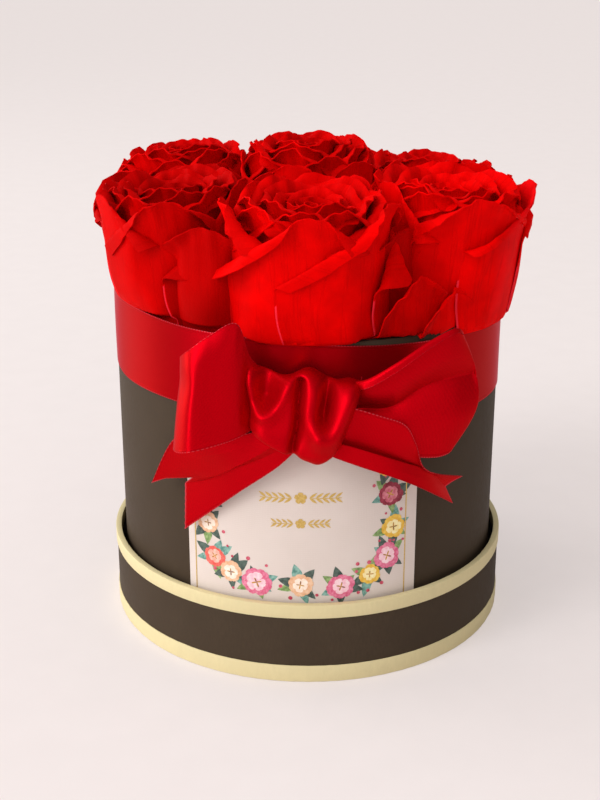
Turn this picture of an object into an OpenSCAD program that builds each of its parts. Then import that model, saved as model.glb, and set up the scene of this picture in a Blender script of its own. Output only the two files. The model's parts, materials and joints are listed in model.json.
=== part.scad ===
// Round flower box that stands in its own turned-over lid: seven roses in foam,
// a satin ribbon band with a bow, and a printed label on the front.
// The origin is the centre of the face that meets the table; the front faces -Y.

/* [Box] */
// Outer diameter of the covered box
box_d = 149.8; // [146:0.2:156]
// Height of the covered box above the lid's panel
box_h = 128; // [124:1:134]
// Thickness of the board of the box
box_board = 2; // [1.6:0.1:2.2]

/* [Lid] */
// Height of the lid
lid_h = 32; // [26:1:36]
// Gap between the box and the folded edging of the lid, on the radius
lid_gap = 2; // [1.2:0.1:3]
// Thickness of the board of the lid's wall
lid_board = 1.3; // [1:0.1:1.6]
// Height of the edging on the lid's open rim
rim_edging_h = 5.4; // [4:0.2:7]
// Height of the edging round the lid's lower corner
base_edging_h = 6.8; // [5:0.2:8]

/* [Ribbon] */
// Width of the ribbon band round the box
band_w = 29.5; // [24:0.5:31]
// Height of the band's middle line at the front
band_z = 114; // [112:0.5:115]
// Slope of the band, higher on the left, in degrees
band_slope = 3.4; // [0:0.1:3.6]
// Height of the middle of the bow's knot
bow_z = 112; // [110:0.5:114]

/* [Label] */
// Width of the label along the box's wall
label_w = 88.5; // [70:0.5:92]
// Height of the label
label_h = 74; // [60:1:76]
// Height of the label's lower edge above the table
label_z = 20; // [8:0.5:21]
// Sideways turn of the label's middle from the front, in degrees
label_turn = -2.2; // [-5:0.1:5]

/* [Roses] */
// Radius of a bloom at its flared lips
bloom_r = 31; // [29:0.5:31.5]
// Height of a bloom
bloom_h = 64; // [60:1:66]
// Distance of the six outer roses from the middle one, at their base
rose_ring_r = 52.5; // [52:0.5:54]
// Outward lean of the six outer roses, in degrees
rose_lean = 5; // [4:0.5:6]
// Diameter of a stem
stem_d = 5; // [4:0.2:6]

/* [Hidden] */
$fn = 96;
paper_t = 0.3;
edging_t = 0.4;
edging_under_w = 9;
panel_t = 2;
wrap_turn_in = 10;
sheet_gap = 0.15;
ribbon_t = 0.4;
bow_ribbon_t = 0.7;

box_r = box_d / 2;
box_board_r = box_r - paper_t;
box_inner_r = box_board_r - box_board;
lining_r = box_inner_r - paper_t;
lid_inner_r = box_r + lid_gap + paper_t;
lid_board_r = lid_inner_r + lid_board;
lid_paper_r = lid_board_r + paper_t;
lid_r = lid_paper_r + edging_t;
panel_z = edging_t + panel_t;
box_base_z = panel_z;
rim_z = box_base_z + box_h;
floor_top_z = box_base_z + paper_t + panel_t;

label_r = box_r + sheet_gap;
label_t = 0.25;
band_r = box_r + sheet_gap;
band_front = band_r + ribbon_t;

foam_gap = 0.5;
foam_drop = 20;
foam_top_z = rim_z - foam_drop;
stem_depth = 40;
hole_gap = 0.05;
calyx_r = 9;
calyx_h = 5;
calyx_rim = 1;
calyx_lift = 3;
bloom_base_z = foam_top_z + calyx_lift + calyx_h;

// Names, places (ring angle in degrees, undef in the middle), lifts and turns of the roses
ROSES = [
    ["center", undef, 8, 20],
    ["front", 270, 0, 0],
    ["front_right", 330, 0, 47],
    ["back_right", 30, 1, 95],
    ["back", 90, 2, 140],
    ["back_left", 150, 4, 206],
    ["front_left", 210, 0, 262],
];

// Rings of petals from the outside in: count, half width in degrees, first angle, share of the
// line where the petal leaves the heart, and the line from the base over the rolled lip, as
// shares of bloom_r and bloom_h
PETAL_RINGS = [
    [5, 46, 0, 0.08,
        [[0.24, 0.01], [0.60, 0.06], [0.80, 0.20], [0.88, 0.40], [0.92, 0.64], [0.99, 0.79], [1.07, 0.75]]],
    [5, 46, 36, 0.25,
        [[0.22, 0.02], [0.42, 0.12], [0.58, 0.28], [0.70, 0.55], [0.76, 0.78], [0.83, 0.88], [0.91, 0.85]]],
    [4, 54, 15, 0.33,
        [[0.20, 0.04], [0.33, 0.14], [0.45, 0.32], [0.53, 0.62], [0.56, 0.86], [0.62, 0.94], [0.68, 0.92]]],
    [3, 66, 60, 0.4,
        [[0.14, 0.06], [0.22, 0.18], [0.29, 0.40], [0.33, 0.70], [0.34, 0.92], [0.38, 0.99], [0.43, 0.97]]],
];
// Outline of the solid heart that the petals stand on, as the same shares
HEART_LINE = [
    [0.28, 0], [0.50, 0.07], [0.58, 0.20], [0.56, 0.40],
    [0.46, 0.60], [0.34, 0.74], [0.20, 0.84], [0.10, 0.88],
];
petal_t = 1.2;
petal_spiral = 1.6;
petal_columns = 4;
petal_rows = 4;
petal_widest = 0.55;
petal_base_width = 0.62;
petal_tip_loss = 0.66;
heart_sides = 16;
cell_soft_r = 21;
cell_limit_r = 26;
wall_soft_r = lining_r - 4;
wall_limit_r = lining_r - 1;
wall_flare = 1.4;
wall_flare_start = 4;

// Bow: sections across the ribbon (lower edge, middle, upper edge) in the order it runs.
// Each point is sideways, forward of the band's front, and above the knot's middle, in mm.
LOOP_LEFT = [
    [[-20, 13.5, -9.5], [-21, 15, 2.5], [-21.8, 13.5, 14]],
    [[-24, 14.5, -11], [-24.5, 15.5, 8], [-24.5, 11, 29.5]],
    [[-34, 14, -14], [-34.5, 14.5, 7], [-35, 10.5, 24]],
    [[-43.5, 9.5, -16], [-45, 10, 4], [-43.5, 7.5, 20]],
    [[-47, 4.5, -12], [-47.5, 4, 4], [-45, 3, 18.5]],
    [[-42, 0, -12], [-42.5, 0, 4], [-40.5, 0, 19]],
    [[-30, 1, -11], [-30, 1, 5], [-29, 1, 23]],
    [[-21.5, 3, -8], [-22, 3, 3], [-22.5, 3, 14]],
];
LOOP_RIGHT = [
    [[15.5, 14, -8.5], [17, 12, 0], [19, 14, 10]],
    [[29, 12.5, -14], [32, 8.5, 1], [33, 13, 18.5]],
    [[40, 9.5, -20.5], [46, 6.5, 6], [47, 10.5, 27.5]],
    [[43.5, 3, -20], [56.5, 1, 5.5], [52.5, 3.5, 22]],
    [[38, -2, -18], [50, -4, 5], [45, -2, 20]],
    [[28, 1, -12], [32, 0.5, 3], [32, 1, 16]],
    [[19.5, 3, -7], [20, 3, 1], [20.5, 3, 9]],
];
TAIL_LEFT = [
    [[-6.5, 8, -19.5], [-13.5, 8, -16], [-21, 7, -12]],
    [[-18, 5, -28], [-25, 4, -21], [-36, 2, -15.5]],
    [[-32, -2, -41.5], [-37, -4, -30], [-50, -7, -21]],
    [[-44.5, -9.5, -55], [-43.5, -9.5, -35.5], [-57, -13.5, -39]],
];
TAIL_RIGHT = [
    [[8.5, 8, -20], [11.5, 9, -16], [15, 7, -12]],
    [[23, 6, -27], [25, 7.5, -22.5], [27, 5, -19]],
    [[37.5, 2.5, -33], [38, 3, -29], [39, 1, -25.5]],
    [[51, -5.5, -42.5], [49, -5.5, -36.5], [54.5, -6.5, -32.5]],
];
// Knot: left and right edges from the bottom up, sideways and above the knot's middle
KNOT_LEFT = [[-4, -17.5], [-16, -11.5], [-19.5, -5], [-20, 5], [-20.6, 14.5]];
KNOT_RIGHT = [[5, -18.5], [11.5, -12.5], [14, -5], [15.2, 3], [17, 10.5]];
knot_back = 3.2;
knot_swell = 13.5;
knot_side = 4;
knot_fold = 1.6;
knot_folds = 4;
knot_columns = 17;
knot_rows = 9;
pad_w = 20;
pad_h = 16;

// Point at s on a smooth line through the given points, which it reaches at s = 0, 1, 2 and so on
function through(points, s) =
    let(
        last = len(points) - 1,
        i = max(0, min(floor(s), last - 1)),
        f = s - i,
        p0 = points[max(i - 1, 0)],
        p1 = points[i],
        p2 = points[i + 1],
        p3 = points[min(i + 2, last)]
    )
    p1 + 0.5 * f * ((p2 - p0) + f * ((2 * p0 - 5 * p1 + 4 * p2 - p3) + f * (3 * (p1 - p2) + p3 - p0)));

// Unit normal of a curved form given as a function of two numbers
function form_normal(form, u, v) =
    let(
        e = 0.004,
        n = cross(form(u + e, v) - form(u - e, v), form(u, v + e) - form(u, v - e))
    )
    n / norm(n);

// Closed sheet of even thickness on a curved form, u and v from 0 to 1
module sheet(form, columns, rows, thickness) {
    spots = [for (j = [0 : rows - 1]) for (i = [0 : columns - 1]) [i / (columns - 1), j / (rows - 1)]];
    front = [for (q = spots) form(q[0], q[1]) + form_normal(form, q[0], q[1]) * thickness / 2];
    back = [for (q = spots) form(q[0], q[1]) - form_normal(form, q[0], q[1]) * thickness / 2];
    closed_sheet(concat(front, back), columns, rows);
}

// Closed solid between two grids of points, the front one first
module closed_sheet(points, columns, rows) {
    half = columns * rows;
    cells = [for (j = [0 : rows - 2]) for (i = [0 : columns - 2]) j * columns + i];
    rim = concat(
        [for (i = [0 : columns - 1]) i],
        [for (j = [1 : rows - 1]) j * columns + columns - 1],
        [for (i = [1 : columns - 1]) half - 1 - i],
        [for (j = [1 : rows - 2]) (rows - 1 - j) * columns]
    );
    faces = concat(
        [for (c = cells) [c, c + columns, c + columns + 1]],
        [for (c = cells) [c, c + columns + 1, c + 1]],
        [for (c = cells) [half + c, half + c + columns + 1, half + c + columns]],
        [for (c = cells) [half + c, half + c + 1, half + c + columns + 1]],
        [for (k = [0 : len(rim) - 1]) [rim[k], rim[(k + 1) % len(rim)], half + rim[(k + 1) % len(rim)]]],
        [for (k = [0 : len(rim) - 1]) [rim[k], half + rim[(k + 1) % len(rim)], half + rim[k]]]
    );
    polyhedron(points, faces, convexity = 6);
}

// Plain ring or disc
module ring(inner_r, outer_r, low_z, high_z) {
    translate([0, 0, low_z])
        difference() {
            cylinder(r = outer_r, h = high_z - low_z);
            if (inner_r > 0)
                translate([0, 0, -1])
                    cylinder(r = inner_r, h = high_z - low_z + 2);
        }
}

module lid_panel() {
    color("#8a7f72")
        ring(0, lid_inner_r, edging_t, panel_z);
}

module lid_panel_paper() {
    color("#3f342a")
        ring(0, lid_r - edging_under_w, 0, edging_t);
}

module lid_wall() {
    color("#8a7f72")
        ring(lid_inner_r, lid_board_r, edging_t, lid_h - edging_t);
}

module lid_wall_paper() {
    color("#3f342a")
        ring(lid_board_r, lid_paper_r, edging_t, lid_h - edging_t);
}

// Folded over the rim: outer leg, top, and a leg inside the lid
module lid_rim_edging() {
    leg_z = lid_h - rim_edging_h;
    color("#f0dcaa")
        rotate_extrude()
            polygon([
                [lid_inner_r - paper_t, leg_z], [lid_inner_r, leg_z],
                [lid_inner_r, lid_h - edging_t], [lid_paper_r, lid_h - edging_t],
                [lid_paper_r, leg_z], [lid_r, leg_z],
                [lid_r, lid_h], [lid_inner_r - paper_t, lid_h],
            ]);
}

// Folded round the corner: outer leg, and a flap under the panel
module lid_base_edging() {
    color("#f0dcaa")
        rotate_extrude()
            polygon([
                [lid_r - edging_under_w, 0], [lid_r, 0],
                [lid_r, base_edging_h], [lid_paper_r, base_edging_h],
                [lid_paper_r, edging_t], [lid_r - edging_under_w, edging_t],
            ]);
}

module box_floor() {
    color("#8a7f72")
        ring(0, box_inner_r, box_base_z + paper_t, floor_top_z);
}

module box_wall() {
    color("#8a7f72")
        ring(box_inner_r, box_board_r, box_base_z + paper_t, rim_z - paper_t);
}

// Turned under the base, up the wall, over the rim and a little way down inside
module box_wall_paper() {
    color("#3f342a")
        rotate_extrude()
            polygon([
                [box_inner_r, box_base_z], [box_r, box_base_z],
                [box_r, rim_z], [lining_r, rim_z],
                [lining_r, rim_z - wrap_turn_in], [box_inner_r, rim_z - wrap_turn_in],
                [box_inner_r, rim_z - paper_t], [box_board_r, rim_z - paper_t],
                [box_board_r, box_base_z + paper_t], [box_inner_r, box_base_z + paper_t],
            ]);
}

module box_lining() {
    color("#5a4c40")
        ring(lining_r, box_inner_r, floor_top_z, rim_z - wrap_turn_in);
}

module label() {
    angle = label_w / label_r * 180 / PI;
    color("#e4dad6")
        rotate([0, 0, 270 + label_turn - angle / 2])
            rotate_extrude(angle = angle)
                translate([label_r, label_z])
                    square([label_t, label_h]);
}

module ribbon_band() {
    reach = 2 * box_d;
    color("#b4001c")
        intersection() {
            ring(band_r, band_front, band_z - band_w, band_z + band_w);
            translate([0, 0, band_z])
                rotate([0, band_slope, 0])
                    cube([reach, reach, band_w], center = true);
        }
}

// Block between the band's curved front and the flat back of the knot
module bow_glue_pad() {
    color("#e8dfc8")
        difference() {
            translate([-pad_w / 2, -band_front - knot_back, bow_z - pad_h / 2])
                cube([pad_w, knot_back + 2, pad_h]);
            cylinder(r = band_front, h = rim_z);
        }
}

// Place of a bow point in the part's frame
function bow_place(p) = [p[0], -band_front - p[1], bow_z + p[2]];

// Ribbon's curved form over its sections: u runs along the ribbon and v across it
function ribbon_form(sections) =
    function (u, v)
        let(
            s = u * (len(sections) - 1),
            across = [for (k = [0 : 2]) through([for (row = sections) row[k]], s)]
        )
        bow_place(through(across, 2 * v));

module bow_ribbon(sections, rows, columns) {
    color("#c4001a")
        sheet(ribbon_form(sections), rows, columns, bow_ribbon_t);
}

module bow_loop_left() {
    bow_ribbon(LOOP_LEFT, 22, 6);
}

module bow_loop_right() {
    bow_ribbon(LOOP_RIGHT, 22, 6);
}

module bow_tail_left() {
    bow_ribbon(TAIL_LEFT, 10, 7);
}

module bow_tail_right() {
    bow_ribbon(TAIL_RIGHT, 10, 7);
}

// Spot of the knot's front at share a from left to right and b from bottom to top
function knot_front(a, b) =
    let(
        s = b * (len(KNOT_LEFT) - 1),
        left = through(KNOT_LEFT, s),
        right = through(KNOT_RIGHT, s),
        edge = left * (1 - a) + right * a,
        round_a = sqrt(max(0, 1 - pow(2 * a - 1, 4))),
        round_b = sqrt(max(0, 1 - pow(2 * b - 1, 4))),
        fold = knot_fold * cos(360 * knot_folds * (a - 0.07 * b))
    )
    [edge[0], knot_back + knot_side + (knot_swell - knot_side + fold) * round_a * round_b, edge[1]];

// Gathered ribbon with upright folds in front and a flat back on the glue pad
module bow_knot() {
    spots = [for (j = [0 : knot_rows - 1]) for (i = [0 : knot_columns - 1])
        knot_front(i / (knot_columns - 1), j / (knot_rows - 1))];
    front = [for (p = spots) bow_place(p)];
    back = [for (p = spots) bow_place([p[0], knot_back, p[2]])];
    color("#c4001a")
        closed_sheet(concat(front, back), knot_columns, knot_rows);
}

module floral_foam() {
    color("#4f6b45")
        difference() {
            ring(0, lining_r - foam_gap, floor_top_z, foam_top_z);
            for (rose = ROSES)
                rose_place(rose)
                    stem_hole();
        }
}

// Puts a rose made at the origin, base down, at its place in the box
module rose_place(rose) {
    if (rose[1] == undef)
        translate([0, 0, bloom_base_z + rose[2]])
            children();
    else
        rotate([0, 0, rose[1]])
            translate([rose_ring_r, 0, bloom_base_z + rose[2]])
                rotate([0, rose_lean, 0])
                    children();
}

module stem_hole() {
    translate([0, 0, -calyx_h - calyx_lift - stem_depth])
        cylinder(d = stem_d + 2 * hole_gap, h = stem_depth + calyx_h + calyx_lift + foam_drop);
}

// Stem with the receptacle that carries the bloom
module rose_stem(rose) {
    stem_r = stem_d / 2;
    stem_foot_z = -calyx_h - calyx_lift - stem_depth + hole_gap;
    color("#5f7a3a")
        rose_place(rose)
            rotate_extrude()
                polygon([
                    [0, stem_foot_z], [stem_r, stem_foot_z], [stem_r, -calyx_h],
                    [calyx_r, -calyx_rim], [calyx_r, 0], [0, 0],
                ]);
}

// Pushes a point back where a neighbouring bloom stands in the given direction
function pressed(p, angle) =
    let(
        d = [cos(angle), sin(angle)],
        s = p * d,
        room = cell_limit_r - cell_soft_r,
        t = s <= cell_soft_r ? s : cell_soft_r + room * (1 - exp((cell_soft_r - s) / room))
    )
    p + (t - s) * d;

function pressed_all(p, angles, i = 0) =
    i == len(angles) ? p : pressed_all(pressed(p, angles[i]), angles, i + 1);

// Keeps a point of an outer rose inside the box's wall, and lets it swell above the rim
function inside_wall(p, z) =
    let(
        axis_r = rose_ring_r + z * sin(rose_lean),
        q = [axis_r + p[0], p[1]],
        swell = wall_flare * max(0, z - (rim_z - bloom_base_z) - wall_flare_start),
        soft = wall_soft_r + swell,
        room = wall_limit_r - wall_soft_r,
        r = norm(q),
        held = r <= soft ? r : soft + room * (1 - exp((soft - r) / room)),
        moved = q * held / r
    )
    [moved[0] - axis_r, moved[1]];

// Directions of a rose's neighbours in its own frame, whose +X points out of the box
function neighbours(rose) = rose[1] == undef ? [0, 60, 120, 180, 240, 300] : [120, 180, 240];

// Share of a petal's half width at share t of its length: narrow at the base, pointed at the lip
function petal_width(t) =
    t < petal_widest
    ? petal_base_width + (1 - petal_base_width) * sin(90 * t / petal_widest)
    : 1 - petal_tip_loss * pow((t - petal_widest) / (1 - petal_widest), 2);

function petal_form(ring, k, turn, angles) =
    function (u, v)
        let(
            t = ring[3] + (1 - ring[3]) * v,
            w = 2 * u - 1,
            line = through(ring[4], t * (len(ring[4]) - 1)),
            angle = turn + ring[2] + k * 360 / ring[0] + ring[1] * petal_width(t) * w,
            r = line[0] * bloom_r + petal_spiral * w,
            z = line[1] * bloom_h,
            xy = pressed_all([r * cos(angle), r * sin(angle)], angles),
            place = len(angles) == 3 ? inside_wall(xy, z) : xy
        )
        [place[0], place[1], z];

// Solid heart with the petals standing on it, joined into one piece
module rose_bloom(rose) {
    turn = rose[3];
    angles = neighbours(rose);
    color("#d80004")
        rose_place(rose)
            resize([0, 0, 0])
                union() {
                    rotate_extrude($fn = heart_sides)
                        polygon(concat(
                            [for (q = HEART_LINE) [q[0] * bloom_r, q[1] * bloom_h]],
                            [[0, HEART_LINE[len(HEART_LINE) - 1][1] * bloom_h], [0, 0]]
                        ));
                    for (ring = PETAL_RINGS)
                        for (k = [0 : ring[0] - 1])
                            sheet(petal_form(ring, k, turn, angles), petal_columns, petal_rows, petal_t);
                }
}

lid_panel();
lid_panel_paper();
lid_wall();
lid_wall_paper();
lid_rim_edging();
lid_base_edging();
box_floor();
box_wall();
box_wall_paper();
box_lining();
label();
ribbon_band();
bow_glue_pad();
bow_knot();
bow_loop_left();
bow_loop_right();
bow_tail_left();
bow_tail_right();
floral_foam();
rose_bloom(ROSES[0]);  // rose_bloom_center
rose_bloom(ROSES[1]);  // rose_bloom_front
rose_bloom(ROSES[2]);  // rose_bloom_front_right
rose_bloom(ROSES[3]);  // rose_bloom_back_right
rose_bloom(ROSES[4]);  // rose_bloom_back
rose_bloom(ROSES[5]);  // rose_bloom_back_left
rose_bloom(ROSES[6]);  // rose_bloom_front_left
rose_stem(ROSES[0]);  // rose_stem_center
rose_stem(ROSES[1]);  // rose_stem_front
rose_stem(ROSES[2]);  // rose_stem_front_right
rose_stem(ROSES[3]);  // rose_stem_back_right
rose_stem(ROSES[4]);  // rose_stem_back
rose_stem(ROSES[5]);  // rose_stem_back_left
rose_stem(ROSES[6]);  // rose_stem_front_left
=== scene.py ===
"""Looks of a round flower box: covered board, satin ribbon and bow, a printed label and seven roses.

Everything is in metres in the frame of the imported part. Shapes are written in millimetres and
turned to metres where a mesh is made.
"""
import json
import logging
import math
from dataclasses import dataclass, field, replace
from enum import Enum
from typing import Any, Callable, Iterator, Sequence

import bpy
import numpy as np
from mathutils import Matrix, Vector


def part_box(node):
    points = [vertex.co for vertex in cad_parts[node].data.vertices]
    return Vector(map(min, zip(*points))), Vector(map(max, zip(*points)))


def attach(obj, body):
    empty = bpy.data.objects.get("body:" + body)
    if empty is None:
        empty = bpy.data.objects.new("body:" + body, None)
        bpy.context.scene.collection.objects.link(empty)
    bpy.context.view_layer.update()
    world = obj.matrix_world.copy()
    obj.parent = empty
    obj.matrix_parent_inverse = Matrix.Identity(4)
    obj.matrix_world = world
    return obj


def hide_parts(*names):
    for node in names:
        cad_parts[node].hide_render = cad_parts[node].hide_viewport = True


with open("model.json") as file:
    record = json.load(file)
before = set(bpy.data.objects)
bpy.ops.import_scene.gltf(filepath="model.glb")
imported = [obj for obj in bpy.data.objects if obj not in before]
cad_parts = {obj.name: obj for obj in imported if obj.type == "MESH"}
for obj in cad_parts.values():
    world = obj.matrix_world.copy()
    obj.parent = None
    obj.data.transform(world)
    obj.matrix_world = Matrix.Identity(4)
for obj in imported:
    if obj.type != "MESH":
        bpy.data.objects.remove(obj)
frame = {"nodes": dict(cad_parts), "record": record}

LOG = logging.getLogger("flower_box")
MM = 0.001
SEED = 7
# A Wave texture turns by this many radians over one unit of its coordinates
WAVE_TURN = 20
# Where noise mostly lies, as inputs of a Map Range node, for a fuller and for a harder spread
NOISE_SPAN = {1: 0.3, 2: 0.7}
NARROW_SPAN = {1: 0.35, 2: 0.65}
# A rounded corner takes up at most this share of each side
CORNER_SHARE = 0.45

Outline = Sequence[tuple[float, float]]
Ripple = Callable[[np.ndarray], np.ndarray]
Section = Sequence[tuple[float, float, float]]
Socket = bpy.types.NodeSocket


class Body(Enum):
    """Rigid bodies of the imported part."""

    LID = "lid"
    BOX = "box"


def linear(hex_colour: str) -> tuple[float, float, float, float]:
    """Turns an sRGB hex colour into linear RGBA.

    Args:
        hex_colour: Six hex digits with a leading hash.

    Returns:
        The linear colour with an alpha of 1.
    """
    parts = [int(hex_colour[i : i + 2], 16) / 255 for i in (1, 3, 5)]
    low = [c / 12.92 if c <= 0.04045 else ((c + 0.055) / 1.055) ** 2.4 for c in parts]
    return (low[0], low[1], low[2], 1.0)


def add_node(
    tree: bpy.types.NodeTree, kind: str, inputs: dict[Any, Any] | None = None, **settings: Any
) -> bpy.types.Node:
    """Adds a node with its settings, and links or sets its inputs.

    Args:
        tree: Node tree that gets the node.
        kind: Type name of the node.
        inputs: Input name or index to a socket to link from, or to a value to set.
        settings: Properties of the node.

    Returns:
        The new node.
    """
    node = tree.nodes.new(kind)
    for key, value in settings.items():
        setattr(node, key, value)
    for key, value in (inputs or {}).items():
        if isinstance(value, Socket):
            tree.links.new(value, node.inputs[key])
        else:
            node.inputs[key].default_value = value
    return node


def band_scale(period: float) -> float:
    """Scale of a Wave texture whose bands repeat at a period, in the units of its coordinates."""
    return 2 * math.pi / (WAVE_TURN * period)


@dataclass(frozen=True)
class Finish:
    """A finish of one name, whose nodes each kind of finish lays out."""

    name: str

    def inputs(self, tree: bpy.types.NodeTree) -> dict[str, Any]:
        """Inputs of the shader by name, as values or sockets."""
        raise NotImplementedError

    def shader(self, tree: bpy.types.NodeTree) -> Socket:
        """Shader of the finish."""
        return add_node(tree, "ShaderNodeBsdfPrincipled", self.inputs(tree)).outputs[0]

    def material(self) -> bpy.types.Material:
        """Builds the node material.

        Returns:
            The material.
        """
        made = bpy.data.materials.new(self.name)
        made.use_nodes = True
        tree = made.node_tree
        tree.nodes.clear()
        add_node(tree, "ShaderNodeOutputMaterial", {"Surface": self.shader(tree)})
        return made


@dataclass(frozen=True)
class FibrePaper(Finish):
    """Dyed paper or board: matt, with short fibres and a faint mottle."""

    colour: str
    fibre: float = 0.9 * MM
    mottle: float = 14 * MM
    roughness: float = 0.62
    uneven: float = 0.08
    contrast: float = 0.16
    relief: float = 0.05 * MM
    gloss: float = 0.08
    lay: tuple[float, float, float] = (1.0, 1.0, 0.35)

    def inputs(self, tree: bpy.types.NodeTree) -> dict[str, Any]:
        """Lays out the nodes.

        Args:
            tree: Node tree that gets them.

        Returns:
            Inputs of the shader by name.
        """
        place = add_node(tree, "ShaderNodeTexCoord").outputs["Object"]
        # Fibres laid along the sheet break up the flat colour close by
        laid = add_node(tree, "ShaderNodeMapping", {"Vector": place, "Scale": self.lay}).outputs[0]
        fine = {"Vector": laid, "Scale": 1 / self.fibre, "Detail": 5.0, "Roughness": 0.65}
        fibres = add_node(tree, "ShaderNodeTexNoise", fine).outputs["Fac"]
        # Clouds in the dye keep a large plain side from looking painted
        broad = {"Vector": place, "Scale": 1 / self.mottle, "Detail": 3.0}
        clouds = add_node(tree, "ShaderNodeTexNoise", broad).outputs["Fac"]
        smooth, rough = self.roughness - self.uneven, self.roughness + self.uneven
        fibre_share, cloud_share, roughness = (
            add_node(
                tree, "ShaderNodeMapRange", {0: noise, **NOISE_SPAN, 3: start, 4: end}
            ).outputs[0]
            for noise, start, end in ((fibres, 0.0, 1.0), (clouds, 0.25, 0.75), (fibres, smooth, rough))
        )
        dark, pale = (
            (*(min(1.0, c * (1 + change)) for c in linear(self.colour)[:3]), 1.0)
            for change in (-self.contrast, self.contrast)
        )
        dye = {0: cloud_share, 6: dark, 7: pale}
        mottled = add_node(tree, "ShaderNodeMix", dye, data_type="RGBA").outputs[2]
        sheet = {0: fibre_share, 6: dark, 7: mottled}
        raised = {"Height": fibres, "Strength": 0.5, "Distance": self.relief}
        return {
            "Base Color": add_node(tree, "ShaderNodeMix", sheet, data_type="RGBA").outputs[2],
            "Roughness": roughness,
            "Normal": add_node(tree, "ShaderNodeBump", raised).outputs[0],
            "Specular IOR Level": self.gloss,
        }


@dataclass(frozen=True)
class Satin(Finish):
    """Woven polyester satin: threads float along the ribbon, so light streaks across it."""

    width: float
    colour: str = "#CA000F"
    shade: str = "#A0000A"
    frayed: str = "#E4626E"
    shine: str = "#FF6A8C"
    streak: float = 0.8
    gloss: float = 0.31
    gloss_range: float = 0.14
    twill: float = 0.6 * MM
    twill_weight: float = 0.14
    grain: float = 0.5 * MM
    selvage: float = 1.1 * MM
    hem: float = 0.4 * MM
    pick: float = 1.1 * MM
    relief: float = 0.06 * MM

    def inputs(self, tree: bpy.types.NodeTree) -> dict[str, Any]:
        """Lays out the nodes. The twill is drawn coarser than real thread, so that it shows.

        Args:
            tree: Node tree that gets them.

        Returns:
            Inputs of the shader by name.
        """
        uv = add_node(tree, "ShaderNodeTexCoord").outputs["UV"]
        along, share, _ = add_node(tree, "ShaderNodeSeparateXYZ", {0: uv}).outputs
        across = add_node(tree, "ShaderNodeMath", {0: share, 1: self.width}, operation="MULTIPLY").outputs[0]
        flat = add_node(tree, "ShaderNodeCombineXYZ", {0: along, 1: across}).outputs[0]
        # Slanting twill lines, seen where the light rakes over a tail
        slant = {"Vector": flat, "Scale": band_scale(self.twill), "Distortion": 0.6, "Detail": 1.0}
        twill = add_node(tree, "ShaderNodeTexWave", slant, bands_direction="DIAGONAL").outputs["Fac"]
        # Uneven threads, which make the gloss sparkle a little
        fine = {"Vector": flat, "Scale": 1 / self.grain, "Detail": 3.0, "Roughness": 0.7}
        grain = add_node(tree, "ShaderNodeTexNoise", fine).outputs["Fac"]
        woven = {0: twill, 1: self.twill_weight, 2: grain}
        threads = add_node(tree, "ShaderNodeMath", woven, operation="MULTIPLY_ADD").outputs[0]
        lit = add_node(tree, "ShaderNodeMapRange", {0: threads, 1: 0.3, 2: 1.0, 3: 0.4, 4: 1.0}).outputs[0]
        # A darker selvage that stands up along both edges, as a firm line
        middle = add_node(tree, "ShaderNodeMath", {0: share, 1: 0.5}, operation="SUBTRACT").outputs[0]
        off_middle = add_node(tree, "ShaderNodeMath", {0: middle}, operation="ABSOLUTE").outputs[0]
        border, hem = (0.5 - strip / self.width for strip in (self.selvage, self.hem))
        firm = {0: off_middle, 1: border, 2: border + 0.004}
        selvage = add_node(tree, "ShaderNodeMapRange", firm).outputs[0]
        dimmed = add_node(tree, "ShaderNodeMath", {0: selvage, 1: 0.5}, operation="MULTIPLY").outputs[0]
        # Pale picks of weft along the very edge, and a frayed line where a tail is cut
        weft = {"Vector": flat, "Scale": band_scale(self.pick)}
        picks = add_node(tree, "ShaderNodeTexWave", weft, bands_direction="X").outputs["Fac"]
        outer = {0: off_middle, 1: hem, 2: hem + 0.003, 4: 0.4}
        outermost = add_node(tree, "ShaderNodeMapRange", outer).outputs[0]
        dots = add_node(tree, "ShaderNodeMath", {0: outermost, 1: picks}, operation="MULTIPLY").outputs[0]
        cut = add_node(tree, "ShaderNodeAttribute", attribute_name="tone").outputs["Fac"]
        pale = {0: cut, 1: 0.6, 2: dots}
        worn = add_node(tree, "ShaderNodeMath", pale, operation="MULTIPLY_ADD").outputs[0]
        tint: Any = linear(self.shade)
        for layer, colour in ((lit, self.colour), (dimmed, self.shade), (worn, self.frayed)):
            mix = {0: layer, 6: tint, 7: linear(colour)}
            tint = add_node(tree, "ShaderNodeMix", mix, data_type="RGBA").outputs[2]
        uneven = {0: grain, 1: 0.25, 2: 0.75, 3: self.gloss, 4: self.gloss + self.gloss_range}
        stands = {0: selvage, 1: 1.5, 2: threads}
        height = add_node(tree, "ShaderNodeMath", stands, operation="MULTIPLY_ADD").outputs[0]
        raised = {"Height": height, "Strength": 0.6, "Distance": self.relief}
        floats = add_node(tree, "ShaderNodeTangent", direction_type="UV_MAP", uv_map="flat")
        return {
            "Base Color": tint,
            "Roughness": add_node(tree, "ShaderNodeMapRange", uneven).outputs[0],
            "Normal": add_node(tree, "ShaderNodeBump", raised).outputs[0],
            "Tangent": floats.outputs[0],
            "Metallic": 0.75,
            "Specular IOR Level": 0.2,
            "Specular Tint": linear(self.shine),
            "Anisotropic": self.streak,
            "Anisotropic Rotation": 0.25,
        }


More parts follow.
